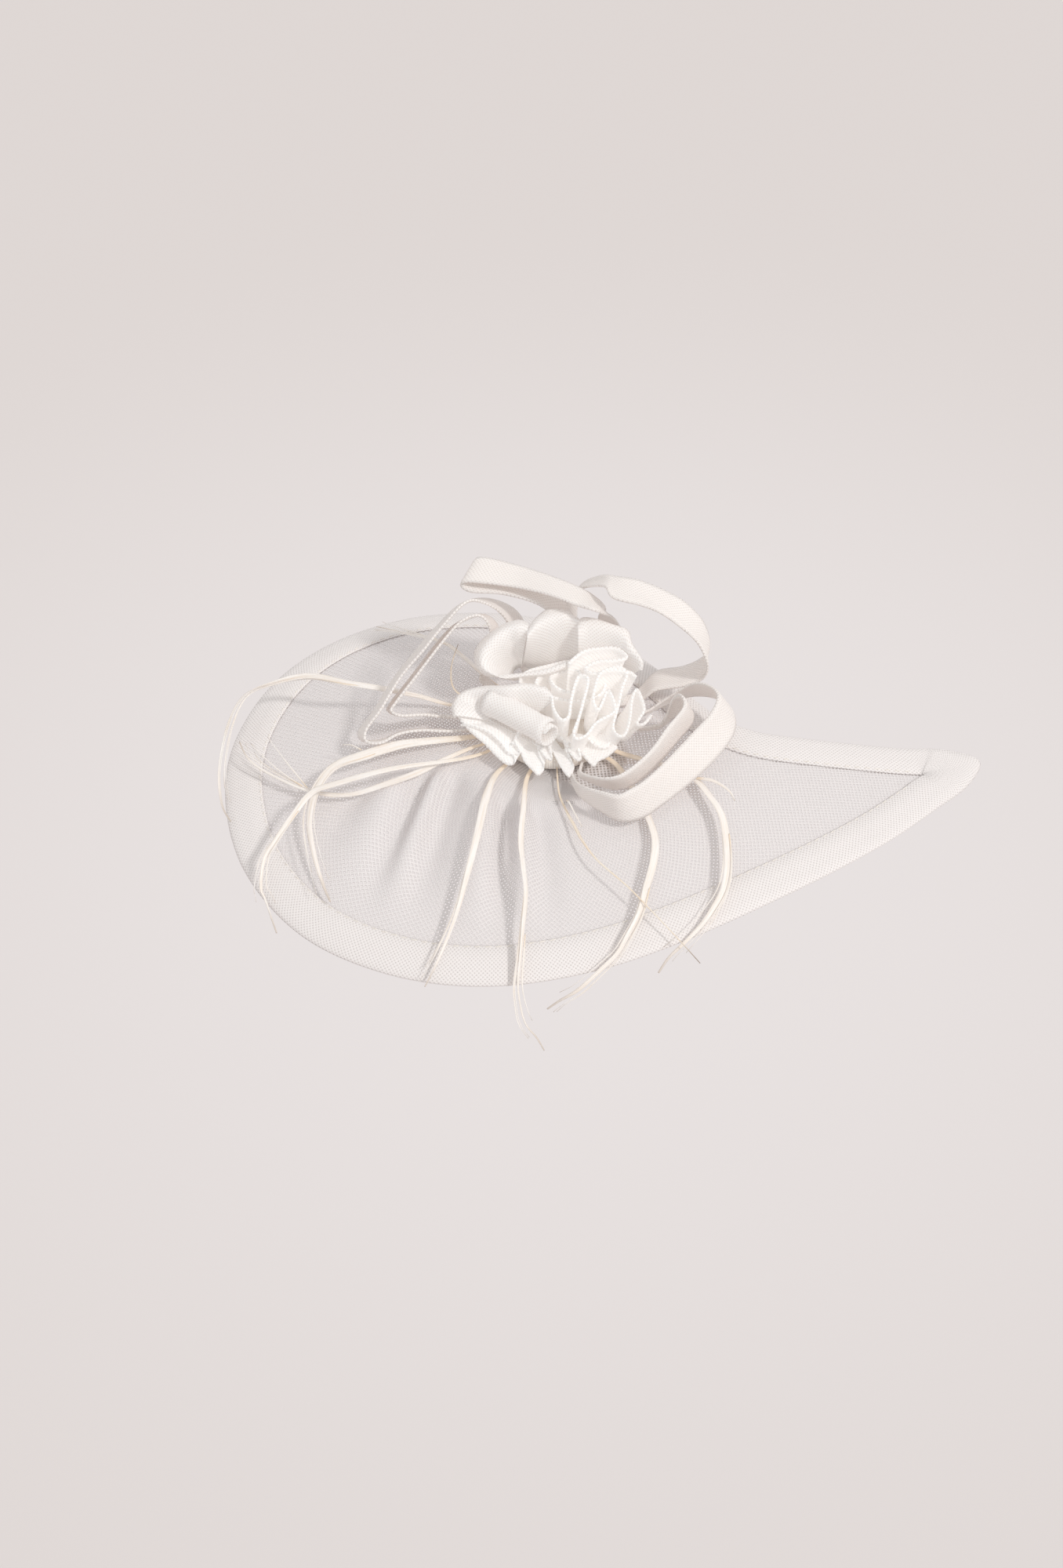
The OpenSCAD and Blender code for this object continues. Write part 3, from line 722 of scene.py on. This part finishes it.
def buildBinding():
    lines = [insetLine(binding["width"]), insetLine(binding["width"] * 0.5), insetLine(0.0), insetLine(-1.1)]
    start = 10
    order = [(start + k) % rimCount for k in range(rimCount)]
    size = 19
    points, uvs = [], []
    length = 0.0
    for number, i in enumerate(order):
        section = bindingSection(i, lines, lapLift(i))
        if number:
            length += (rimLine[i] - rimLine[order[number - 1]]).length
        across = lineLengths(section)
        points += section
        uvs.append([(length, a) for a in across] + [(length, across[-1] + 1)])
    faces, faceUvs = [], []
    closing = length + (rimLine[order[0]] - rimLine[order[-1]]).length
    for i in range(rimCount):
        after = (i + 1) % rimCount
        nextUvs = uvs[after] if after else [(closing, v) for u, v in uvs[0]]
        for j in range(size):
            k = (j + 1) % size
            faces.append((i * size + j, i * size + k, after * size + k, after * size + j))
            faceUvs.append((uvs[i][j], uvs[i][j + 1], nextUvs[j + 1], nextUvs[j]))
    piece = newPiece("edgeBinding", points, faces, faceUvs, bindingCloth)
    tidyNormals(piece)
    place(piece, "binding", "edge_binding")
    return piece


def tidyNormals(piece):
    bpy.ops.object.select_all(action="DESELECT")
    bpy.context.view_layer.objects.active = piece
    piece.select_set(True)
    bpy.ops.object.mode_set(mode="EDIT")
    bpy.ops.mesh.select_all(action="SELECT")
    bpy.ops.mesh.normals_make_consistent(inside=False)
    bpy.ops.object.mode_set(mode="OBJECT")


edgeBinding = buildBinding()
buildStitches()
buildDarkSewing()
print("binding ready")


# Ribbon loops

trim = {"padAt": (-4.0, 14.0), "padRadius": 24.0, "padZ": 4.7, "padHeight": 5.0, "gap": 0.3}


def seat(angle, low, high, thick=0.9):
    r = trim["padRadius"] + trim["gap"] + thick / 2
    turn = math.radians(angle)
    x, y = trim["padAt"][0] + r * math.cos(turn), trim["padAt"][1] + r * math.sin(turn)
    return Vector((x, y, trim["padZ"] + low)), Vector((x, y, trim["padZ"] + high))


ribbons = {
    "topLoop": dict(node="top_loop", first=(62, 0.6, 3.6), last=(92, 3.6, 0.6), pairs=[
        ((14, 58, 14), (24, 56, 13)), ((15, 57, 28), (22, 50, 30)), ((17, 48, 39), (14, 37, 45)),
        ((10, 52, 44), (5, 40, 46)), ((-2, 57, 47.5), (-5, 45, 47)), ((-17, 64, 50), (-20, 52, 47)),
        ((-32, 67, 54), (-38, 55, 49)), ((-36, 67, 53), (-42, 56, 47)),
        ((-33, 66, 50.5), (-38, 54, 44.5)), ((-22, 64, 46.5), (-25, 53, 43)), ((-9, 60, 43), (-11, 49, 40)),
        ((0, 57, 37), (-4, 48, 33)), ((3, 55, 25), (-2, 50, 22)), ((0, 52, 10), (-5, 51, 8))]),
    "rightUpperLoop": dict(node="right_upper_loop", first=(78, 3.6, 0.6), last=(30, 3.6, 0.6), pairs=[
        ((6, 64, 8), (-2, 62, 7)), ((6, 69, 24), (0, 60, 26)), ((8, 67, 38), (4, 58, 40)),
        ((16, 58, 49), (16, 47, 51)),
        ((22, 53, 52), (20, 39, 51)), ((31, 51, 52), (31, 36, 50)), ((42, 48, 49), (39, 34, 48)),
        ((50, 46, 45), (47, 32, 43)), ((57, 45, 37), (54, 30, 37)), ((60, 43, 29), (58, 28, 30)),
        ((60, 43, 22), (59, 28, 23)), ((57, 44, 16), (56, 29, 16)), ((50, 43, 12), (48, 28, 13)),
        ((39, 42, 9), (38, 28, 10)), ((30, 34, 3.6), (31, 27, 4))]),
    "frontOuterLoop": dict(node="front_outer_loop", first=(284, 0.6, 3.6), last=(15, 0.6, 3.6), pairs=[
        ((4, -22, 4), (5, -23, 8)), ((7, -30, 5.5), (8, -33, 15)), ((14, -36, 5.5), (15, -39, 19)),
        ((22, -41, 5.5), (21, -41, 20)), ((30, -40, 6), (26, -38, 20)), ((38, -34, 6.5), (32, -33, 20)),
        ((50, -23, 8), (41, -22, 20)), ((62, -10, 11), (52, -8, 22)), ((69, 2, 13), (59, 0, 25)),
        ((69, 12, 15), (62, 7, 28)), ((63, 21, 14), (59, 14, 27)), ((53, 26, 10), (52, 20, 22)),
        ((42, 25, 5), (42, 22, 11)), ((33, 21, 3), (33, 20, 5))]),
    "frontInnerLoop": dict(node="front_inner_loop", first=(298, 0.6, 3.6), last=(356, 0.6, 3.6), pairs=[
        ((6, -18, 6), (7, -20, 10)), ((13, -25, 8), (13, -31, 18)), ((21, -28, 8.6), (20, -34, 22)),
        ((30, -24, 9.5), (26, -30, 22.5)), ((38, -15, 10.5), (34, -21, 23)),
        ((46, -4, 12.5), (41, -10, 25)), ((52, 5, 14), (48, 0, 27.5)), ((52, 11, 14), (47, 7, 27.5)),
        ((46, 13, 10), (44, 10, 22)), ((38, 12, 3.2), (39, 11, 6.6))]),
    "leftOuterLoop": dict(node="left_outer_loop", first=(112, 3.6, 0.6), last=(184, 3.6, 0.6), pairs=[
        ((-17, 46, 6), (-15, 53, 6)), ((-20, 50, 20), (-15, 60, 17)), ((-25, 51, 33), (-20, 62, 28)),
        ((-33, 49, 42), (-31, 60, 36)), ((-40, 45, 45.5), (-42, 56, 37)), ((-49, 37, 40), (-53, 47, 31)),
        ((-57, 29, 34), (-62, 38, 25)), ((-66, 22, 27), (-70, 31, 18)), ((-74, 11, 20), (-78, 20, 11)),
        ((-80, 5, 15), (-84, 14, 6)), ((-80, 0, 13), (-82, 10, 4)), ((-74, -1, 12), (-74, 9, 4)),
        ((-67, 4, 11), (-66, 13, 3.6)), ((-58, 8, 8), (-58, 14, 3)), ((-46, 10, 4.4), (-46, 13, 2))]),
    "leftInnerLoop": dict(node="left_inner_loop", first=(134, 3.6, 0.6), last=(170, 3.6, 0.6), pairs=[
        ((-34, 38, 6), (-32, 44, 6)), ((-31, 41, 20), (-28, 50, 16)), ((-30, 42, 32), (-27, 52, 26)),
        ((-34, 42, 40), (-33, 52, 33)), ((-41, 39, 40.5), (-43, 49, 32)), ((-48, 34, 35.5), (-51, 44, 27)),
        ((-60, 22, 26), (-63, 32, 17)), ((-68, 14, 20), (-71, 24, 11)), ((-70, 11, 18), (-72, 21, 9)),
        ((-66, 9, 16.5), (-66, 19, 7)), ((-57, 13, 12), (-57, 21, 5)), ((-46, 18, 4.8), (-46, 21, 2.4))]),
}
ribbonCut = {"across": 9, "steps": 14, "thick": 1.2, "puff": (0.36, 0.5, 0.3), "crown": 0.4, "tooth": 0.06}


def lifted(p):
    return Vector((p[0], p[1], smoothDome(p[0], p[1]) + p[2]))


def buildRibbon(name, spec):
    pairs = [seat(*spec["first"])] + [(lifted(a), lifted(b)) for a, b in spec["pairs"]] + [seat(*spec["last"])]
    left = smoothLine([a for a, b in pairs], ribbonCut["steps"])
    right = smoothLine([b for a, b in pairs], ribbonCut["steps"])
    rows = []
    wide = ribbonCut["across"]
    for i, (a, b) in enumerate(zip(left, right)):
        j, k = max(i - 1, 0), min(i + 1, len(left) - 1)
        out = ((left[k] + right[k]) - (left[j] + right[j])).cross(b - a).normalized()
        crown = ribbonCut["crown"] * min(1.0, (b - a).length / 14)
        rows.append([a.lerp(b, t) + out * crown * 4 * t * (1 - t) for t in (c / (wide - 1) for c in range(wide))])
    piece, length = foldedStrip(name, rows, ribbonCut["thick"], ribbonCloth, ribbonCut["tooth"], puff=ribbonCut["puff"])
    place(piece, "ribbon", spec["node"])


for name, spec in ribbons.items():
    buildRibbon(name, spec)
print("ribbon loops ready")


# Rosettes

rosettes = {
    "cupPetal": dict(node=["rosette_top"], floor=(-18, 34, 17), steps=8, across=16, rim=[
        (6, 30, 30), (-1, 27, 29), (-8, 26, 27), (-16, 26, 25), (-24, 26, 24), (-31, 26, 24), (-35, 29, 26),
        (-36, 35, 29), (-32, 40, 32), (-25, 44, 35), (-18, 45, 37), (-14, 41, 38)], crest=[
        (6, 32, 27), (-1, 27, 26), (-8, 25, 25), (-16, 25, 24), (-24, 24, 24), (-29, 25, 27), (-31, 27, 29),
        (-30, 30, 32), (-27, 33, 35), (-22, 36, 37), (-18, 36, 38), (-15, 36, 37)], root=[
        (5, 37, 20), (0, 32, 17), (-8, 31, 15), (-16, 31, 14), (-22, 32, 13), (-25, 36, 12), (-26, 39, 12),
        (-25, 44, 12), (-23, 47, 13), (-20, 48, 14), (-18, 48, 15), (-16, 47, 16)]),
    "backPleat": dict(node=["rosette_back"], steps=8, across=12, rim=[
        (-15, 38, 37), (-11, 44, 39), (-6, 47, 41), (1, 46, 41), (6, 42, 40), (7, 40, 38)], crest=[
        (-15, 32, 37), (-10, 37, 38), (-4, 39, 39), (1, 40, 39), (5, 41, 38), (7, 39, 36)], root=[
        (-17, 42, 15), (-12, 41, 14), (-7, 41, 14), (-1, 42, 15), (5, 40, 22), (7, 38, 24)]),
    "capPetal": dict(node=[], steps=8, across=10, rim=[
        (6, 40, 39), (8, 43, 40), (14, 42, 40), (20, 40, 39), (26, 39, 37), (28, 34, 34), (32, 28, 30),
        (32, 26, 27)], crest=[
        (6, 35, 37), (9, 37, 38), (14, 37, 38), (20, 36, 37), (24, 34, 36), (26, 31, 33), (30, 28, 29),
        (30, 26, 26)], root=[
        (6, 36, 26), (9, 36, 25), (14, 36, 24), (18, 36, 23), (22, 34, 22), (25, 35, 20), (26, 33, 18),
        (27, 31, 17)]),
    "sidePetal": dict(node=["rosette_front"], floor=(-20, 8, 13), steps=8, across=16, rim=[
        (-5, 10, 27), (-9, 14, 28), (-16, 16, 28), (-24, 17, 26), (-31, 20, 23), (-38, 20, 21), (-43, 18, 19),
        (-45, 14, 17), (-44, 10, 15)], crest=[
        (-5, 8, 26), (-9, 10, 28), (-16, 12, 28), (-24, 12, 27), (-31, 15, 24), (-37, 16, 22), (-40, 14, 21),
        (-41, 12, 19), (-41, 9, 17)], root=[
        (-7, 9, 18), (-11, 13, 16), (-17, 16, 14), (-22, 18, 13), (-28, 20, 12), (-31, 20, 11), (-34, 18, 11),
        (-35, 16, 11), (-36, 14, 11)]),
    "serpentineFrill": dict(node=["rosette_right"], steps=6, across=9, rim=[
        (-8, 15, 28), (-5, 10, 28), (-4, 2, 28), (-1, -3, 27), (2, -1, 27), (3, 6, 29), (5, 15, 31),
        (7, 18, 32), (10, 15, 32), (8, 5, 30), (6, -3, 28), (4, -9, 26), (5, -12, 25), (9, -10, 25),
        (13, -4, 26), (19, 1, 26), (21, 4, 26), (20, 8, 28), (18, 12, 29), (16, 7, 28), (14, 3, 27),
        (12, 6, 29), (13, 13, 31), (15, 19, 32), (19, 22, 32), (23, 24, 31), (26, 22, 29), (24, 16, 27),
        (22, 6, 25), (20, -2, 22), (22, -6, 21), (25, -4, 20), (27, 4, 21), (28, 13, 23), (30, 18, 24),
        (32, 16, 21), (33, 11, 19), (31, 7, 18), (30, 5, 17), (33, 5, 17), (36, 10, 17)]),
    "middlePetal": dict(node=[], steps=8, across=12, rim=[
        (2, 26, 31), (8, 31, 33), (15, 33, 33), (22, 33, 33), (26, 29, 32), (22, 27, 32), (14, 26, 32),
        (9, 23, 31), (13, 20, 31), (20, 22, 31), (27, 23, 29), (30, 22, 27)]),
    "leftTuck": dict(node=[], steps=8, across=10, rim=[
        (-42, 8, 13), (-37, 5, 15), (-31, 2, 15), (-26, -3, 14), (-22, -8, 12), (-18, -8, 13), (-20, -3, 15),
        (-17, 1, 17), (-12, -3, 16), (-8, -10, 13), (-5, -12, 13), (-6, -6, 15), (-4, -1, 17), (0, -4, 16),
        (4, -11, 13), (7, -12, 13), (6, -6, 15), (9, -2, 16), (14, -6, 14), (18, -6, 14), (20, -2, 16)]),
    "lowerFrill": dict(node=["rosette_frill"], steps=6, across=8, rim=[
        (-44, 12, 16), (-41, 8, 14), (-37, 3, 13), (-32, -2, 12), (-28, -7, 11), (-24, -11, 10), (-21, -12, 10),
        (-20, -10, 11), (-22, -6, 12), (-21, -4, 14), (-18, -6, 13), (-16, -11, 11), (-12, -16, 10),
        (-10, -17, 9), (-8, -14, 10), (-10, -9, 12), (-10, -5, 14), (-6, -4, 14), (-4, -8, 12),
        (-1, -14, 10), (2, -18, 9), (4, -14, 10), (2, -9, 12), (1, -6, 15), (4, -5, 15), (8, -9, 12),
        (12, -13, 10), (14, -11, 11), (18, -9, 12), (22, -6, 14)]),
}
rosetteCut = {"thick": 1.2, "puff": (0.42, 0.5, 0.09), "tooth": 0.04, "heart": (-3.0, 16.0, 11.0),
              "lowRoot": (0.42, 10), "highRoot": (0.22, 17), "crestShare": 0.6, "floorShare": 0.6}
heart = {"at": (2.0, 24.0), "from": 4.0, "to": 15.0, "turns": 2.6, "top": 25.0, "foot": 10.6, "wave": 1.4}


# Where a frill's sewn edge lies: in towards the rosette's heart and down to the pad
def rootFor(rim, pull, depth):
    heart = Vector(rosetteCut["heart"])
    p = Vector(rim)
    inner = p.lerp(heart, pull)
    onPad = (inner.xy - Vector(trim["padAt"])).length < trim["padRadius"] + 1
    inner.z = max(10.3 if onPad else 5.0, p.z - depth)
    return inner


def buildRosette(name, spec):
    rim = [Vector(p) for p in spec["rim"]]
    if "crest" in spec:
        crest = [Vector(p) for p in spec["crest"]]
        root = [Vector(p) for p in spec["root"]]
    else:
        low = name in ("lowerFrill", "leftTuck")
        root = [rootFor(p, *rosetteCut["lowRoot" if low else "highRoot"]) for p in rim]
        crest = [r.lerp(p, rosetteCut["crestShare"]) + Vector((0, 0, 1.0 if low else 0.0)) for p, r in zip(rim, root)]
    if "floor" in spec:
        root = [p.lerp(Vector(spec["floor"]), rosetteCut["floorShare"]) for p in root]
    lines = [smoothLine(line, spec["steps"]) for line in (rim, crest, root)]
    wide = spec["across"]
    rows = []
    for a, b, c in zip(*lines):
        row = []
        for k in range(wide):
            t = k / (wide - 1)
            row.append(a * (1 - t) ** 2 + (b * 2 - (a + c) * 0.5) * 2 * t * (1 - t) + c * t * t)
        rows.append(row)
    # painted light: pieces without a crest line take the lighter, more glowing copy of the same sinamay
    cloth = shadedRuffleCloth if "crest" in spec else litRuffleCloth
    piece, length = foldedStrip(name, rows, rosetteCut["thick"], cloth, rosetteCut["tooth"], puff=rosetteCut["puff"])
    place(piece, "ruffle", *spec["node"])


for name, spec in rosettes.items():
    buildRosette(name, spec)


def buildHeart():
    rows = []
    count = 150
    for i in range(count + 1):
        share = i / count
        turn = 2 * math.pi * heart["turns"] * share
        out = heart["from"] + (heart["to"] - heart["from"]) * share
        out += heart["wave"] * math.sin(turn * 3.3) * share
        x, y = heart["at"][0] + out * 1.25 * math.cos(turn), heart["at"][1] + out * math.sin(turn)
        top = heart["top"] - 3.0 * share + 1.2 * math.sin(turn * 2.1)
        foot = Vector((x * 0.85, 3 + y * 0.85, heart["foot"]))
        edge = Vector((x, y, top))
        rows.append([edge.lerp(foot, t) + Vector((0, 0.8 * math.sin(math.pi * t), 0))
                     for t in (k / 7 for k in range(8))])
    piece, length = foldedStrip("heartFrill", rows, rosetteCut["thick"], litRuffleCloth, rosetteCut["tooth"],
                                puff=rosetteCut["puff"])
    place(piece, "ruffle")


buildHeart()

roll = {"from": (-30.0, 15.0, 19.5), "to": (-6.0, -5.5, 21.0), "outer": 6.1, "inner": 3.1, "turns": 1.75}


def buildRoll():
    start, end = Vector(roll["from"]), Vector(roll["to"])
    axis = (end - start).normalized()
    side = axis.cross(Vector((0, 0, 1))).normalized()
    up = side.cross(axis)
    rows = []
    count = 72
    for i in range(count + 1):
        share = i / count
        turn = 2 * math.pi * roll["turns"] * share + 0.6
        radius = roll["inner"] + (roll["outer"] - roll["inner"]) * share
        row = []
        for k in range(14):
            t = k / 13
            flare = 1 + 0.15 * (1 - t) + 0.05 * t
            skew = axis * (1.2 * math.sin(turn * 0.5) * t)
            spoke = side * math.cos(turn) + up * math.sin(turn)
            row.append(start.lerp(end, t) + skew + spoke * radius * flare)
        rows.append(row)
    piece, length = foldedStrip("rolledBud", rows, rosetteCut["thick"], shadedRuffleCloth, puff=rosetteCut["puff"])
    place(piece, "ruffle", "rosette_roll")


buildRoll()
print("rosettes ready")


# Feathers

feathers = {
    "featherLeftHigh": dict(node="feather_left_high", width=3.6, twist=(0, 0, 150, 180), route=[
        (-47, 28, 3), (-60, 30, 8), (-76, 31, 14), (-90, 34, 17), (-106, 41, 18), (-122, 40, 18),
        (-133, 36, 17), (-139, 22, 13), (-141, 0, 9), (-139, -15, 5), (-135, -23, 3)]),
    "featherLeftWide": dict(node="feather_left_wide", width=5.0, twist=(0, 20, -20, 30), route=[
        (-41, 7, 3), (-65, 1, 8), (-81, -5, 10), (-93, -9, 10), (-100, -20, 9), (-102, -34, 8),
        (-99, -50, 6), (-95, -62, 4.5), (-92, -69, 3.5)]),
    "featherLeftForked": dict(node="feather_left_forked", width=3.0, twist=(0, 30, 0, 20), route=[
        (-38, 1, 2.6), (-50, -7, 4), (-60, -13, 4.5), (-72, -17, 4.5), (-85, -20, 4.5), (-97, -18.5, 5),
        (-109, -12, 5.5), (-123, -1, 6.5), (-130, 7, 7.5), (-134, 17, 8)]),
    "featherLeftLow": dict(node="feather_left_low", width=3.4, twist=(0, 0, 40, 0), route=[
        (-39, -5, 3.4), (-69, -16, 12), (-91, -22, 14), (-101, -25, 14), (-108, -34, 13), (-115, -44, 11),
        (-119, -50, 9), (-120, -60, 6), (-118, -65, 4), (-113, -79, 3)]),
    "featherFrontLeft": dict(node="feather_front_left", width=3.6, twist=(0, 10, 60, 80), route=[
        (-27, -14, 3), (-31, -30, 7), (-34, -48, 9), (-38, -67, 8.5), (-42, -82, 7), (-47, -94, 5),
        (-51, -102, 4), (-54, -107, 3)]),
    "featherFrontMid": dict(node="feather_front_mid", width=3.6, twist=(20, 50, 70, 20), route=[
        (-15, -18, 3), (-16, -36, 7), (-17, -53, 8.5), (-16, -65, 9), (-15, -76, 9), (-16, -88, 8),
        (-17, -99, 6), (-18, -108, 3), (-17, -113, -2), (-15, -117, -6), (-11, -120, -9), (-8, -123, -12)]),
    "featherFrontRight": dict(node="feather_front_right", width=4.6, twist=(0, 40, 60, 0), route=[
        (21, -8, 2.6), (27, -20, 2.6), (33, -35, 3), (36, -48, 4.5), (35, -60, 6), (32, -71, 6), (29, -82, 6),
        (24, -91, 5), (20, -97, 4), (13, -103, 3), (5, -108, 0), (-2, -110, -3), (-7, -112, -5)]),
    "featherRightWide": dict(node="feather_right_wide", width=5.0, twist=(0, 30, 20, 10), route=[
        (24, -2, 2.6), (34, -6, 2.6), (45, -10, 3), (53, -17, 4.5), (58, -26, 6), (62.5, -36, 7), (64, -47, 7),
        (64, -60, 7), (62, -70, 6), (57.5, -78, 5), (53, -84, 4), (46, -91, 3), (40, -96, 1.5), (36, -101, 0)]),
    "featherBackLeft": dict(node="feather_back_left", width=2.2, twist=(0, 0, 0, 0), route=[
        (-30, 42, 3), (-42, 58, 6), (-50, 66, 9), (-62, 75, 9), (-74, 83, 9), (-80, 87, 9)]),
    "quillFront": dict(node="quill_front", width=1.3, twist=(0, 0, 0, 0), route=[
        (-2, -24, 2.2), (1, -35, 2.6), (4, -43, 4), (7, -51, 5.5), (13, -61, 7), (25, -73, 8), (36, -84, 7),
        (45, -93, 6), (52, -100, 5)]),
    "quillBack": dict(node="quill_back", width=1.3, twist=(0, 0, 0, 0), route=[
        (-38, 29, 4), (-45, 30, 10), (-46, 32, 20), (-43, 35.5, 30)]),
}
featherCut = {"across": 7, "steps": 10, "thick": 0.26, "cup": 0.07, "splits": 3,
              "narrow": 0.9, "clear": 0.4}


def featherRoot(p):
    spoke = (Vector(p[:2]) - Vector(trim["padAt"])).normalized()
    at = Vector(trim["padAt"]) + spoke * (trim["padRadius"] + trim["gap"])
    return Vector((at.x, at.y, trim["padZ"] + 2.4))


# A value along a feather, eased between the ones given at equal steps
def spread(values, share):
    at = share * (len(values) - 1)
    low = min(int(at), len(values) - 2)
    return values[low] + (values[low + 1] - values[low]) * smoothStep(at - low)


def strandRows(line, width, twist, cup, rootShare=0.35, tipShare=0.12):
    rows = []
    count = len(line)
    wide = featherCut["across"]
    for i, p in enumerate(line):
        along = i / (count - 1)
        runs = (line[min(i + 1, count - 1)] - line[max(i - 1, 0)]).normalized()
        side = runs.cross(Vector((0, 0, 1))).normalized()
        up = side.cross(runs)
        turn = math.radians(spread(twist, along))
        side, up = side * math.cos(turn) + up * math.sin(turn), up * math.cos(turn) - side * math.sin(turn)
        half = width / 2 * min(1, rootShare + 2.6 * along) * min(1, tipShare + 1.3 * (1 - along))
        rows.append([p + side * half * (2 * t - 1) - up * cup * width * (2 * t - 1) ** 2
                     for t in (c / (wide - 1) for c in range(wide))])
    return rows


def buildFeather(name, spec):
    route = [featherRoot(spec["route"][0])] + [
        Vector((p[0], p[1], smoothDome(p[0], p[1]) + featherCut["clear"] + p[2])) for p in spec["route"]]
    line = smoothLine(route, featherCut["steps"])
    rows = strandRows(line, spec["width"] * featherCut["narrow"], spec["twist"], featherCut["cup"])
    bare = name.startswith("quill")
    piece, length = foldedStrip(name, rows, featherCut["thick"], quillHorn if bare else featherCream, along=True)
    place(piece, "quill" if bare else "feather", spec["node"])
    if not bare:
        splitBarbs(name, line, spec["width"])
    return piece


# Fine barbs that have parted from a strand and end beside its tip
def splitBarbs(name, line, width):
    chance = random.Random(name)
    for number in range(featherCut["splits"]):
        start = int(len(line) * chance.uniform(0.30, 0.55))
        end = int(len(line) * chance.uniform(0.84, 0.98))
        side = chance.choice((-1, 1))
        stray = chance.uniform(1.2, 3.2)
        part = []
        for i in range(start, end):
            share = (i - start) / (end - start)
            runs = (line[min(i + 1, len(line) - 1)] - line[i - 1]).normalized()
            across = runs.cross(Vector((0, 0, 1))).normalized()
            part.append(line[i] + across * side * (width * 0.25 + stray * share ** 1.6) + Vector((0, 0, 0.7 * share)))
        rows = strandRows(part, chance.uniform(0.45, 0.8), (0, 0), 0.05, 0.5, 0.1)
        barb, length = foldedStrip(name + "Barb" + str(number + 1), rows, 0.15, featherCream, along=True)
        place(barb, "feather")


for name, spec in feathers.items():
    buildFeather(name, spec)

barbs = {
    "featherRightBarb": dict(node="feather_right_barb", width=1.6, points=[
        (53, -17, 5.5), (60, -20, 7.6), (66, -26, 9), (68, -31, 9)]),
    "hairBarbNear": dict(width=0.5, points=[(-104, -14, 6), (-112, -2, 8), (-119, 10, 9), (-122, 16, 9)]),
    "hairBarbFar": dict(width=0.5, points=[(-106, -13, 6), (-116, -4, 8), (-124, 6, 9), (-129, 14, 9)]),
    "hairBarbSide": dict(width=0.6, points=[(-82, -2, 10.6), (-86, 1, 11), (-90, 2, 11)]),
    "quillBranch": dict(width=0.8, points=[(1, -30, 4), (2, -33, 6), (4, -38, 6), (7, -44, 5)]),
}


def buildBarb(name, spec):
    line = smoothLine([Vector((p[0], p[1], smoothDome(p[0], p[1]) + p[2])) for p in spec["points"]], 6)
    rows = strandRows(line, spec["width"], (0, 0), 0.1, 0.6, 0.1)
    piece, length = foldedStrip(name, rows, 0.25, featherCream, along=True)
    place(piece, "feather", *([spec["node"]] if "node" in spec else []))
    return piece


for name, spec in barbs.items():
    buildBarb(name, spec)
print("feathers ready")


# Pads under the trimming

def buildPad(name, at, low, radius, height, slot, node):
    bpy.ops.object.select_all(action="DESELECT")
    bpy.ops.mesh.primitive_cylinder_add(vertices=96, radius=radius * mm, depth=height * mm,
                                        location=(at[0] * mm, at[1] * mm, (low + height / 2) * mm))
    pad = bpy.context.object
    pad.name = name
    pad.data.name = name
    bpy.ops.object.transform_apply(location=True, rotation=True, scale=True)
    bpy.ops.object.mode_set(mode="EDIT")
    bpy.ops.mesh.select_all(action="SELECT")
    bpy.ops.mesh.bevel(offset=height * 0.36 * mm, segments=5, affect="EDGES")
    bpy.ops.mesh.normals_make_consistent(inside=False)
    bpy.ops.object.mode_set(mode="OBJECT")
    bpy.ops.object.shade_smooth_by_angle(angle=math.radians(40))
    pad.data.materials.append(coverCloth)
    place(pad, slot, node)


buildPad("trimPad", trim["padAt"], trim["padZ"], trim["padRadius"], trim["padHeight"], "pad_cloth", "trim_pad")
buildPad("baseDisc", (0, 2), 0.8, 26.0, 2.5, "pad_cloth", "base_disc")
print("pads ready")


# Hardware

for node, material in (("clip_plate", clipBlack), ("clip_jaw", clipBlack), ("clip_pin", pinSteel),
                       ("clip_spring", springSteel), ("clip_stitches", sewingThread), ("edge_wire", wireCotton)):
    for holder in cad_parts[node].material_slots:
        holder.material = material


spring = {"axisY": 11.0, "axisZ": -3.0, "merge": 0.001, "smooth": 50}


# A merged, smooth-shaded copy of the CAD spring takes its place
def buildSpring():
    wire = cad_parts["clip_spring"]
    coil = bpy.data.objects.new("springCoil", wire.data.copy())
    bpy.context.scene.collection.objects.link(coil)
    bpy.ops.object.select_all(action="DESELECT")
    coil.select_set(True)
    bpy.context.view_layer.objects.active = coil
    bpy.ops.object.mode_set(mode="EDIT")
    bpy.ops.mesh.select_all(action="SELECT")
    bpy.ops.mesh.remove_doubles(threshold=spring["merge"] * mm)
    bpy.ops.mesh.normals_make_consistent(inside=False)
    bpy.ops.object.mode_set(mode="OBJECT")
    bpy.ops.object.shade_smooth_by_angle(angle=math.radians(spring["smooth"]))
    coil.data.materials.clear()
    coil.data.materials.append(springSteel)
    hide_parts("clip_spring")
    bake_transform(coil)


buildSpring()
print("hardware ready")
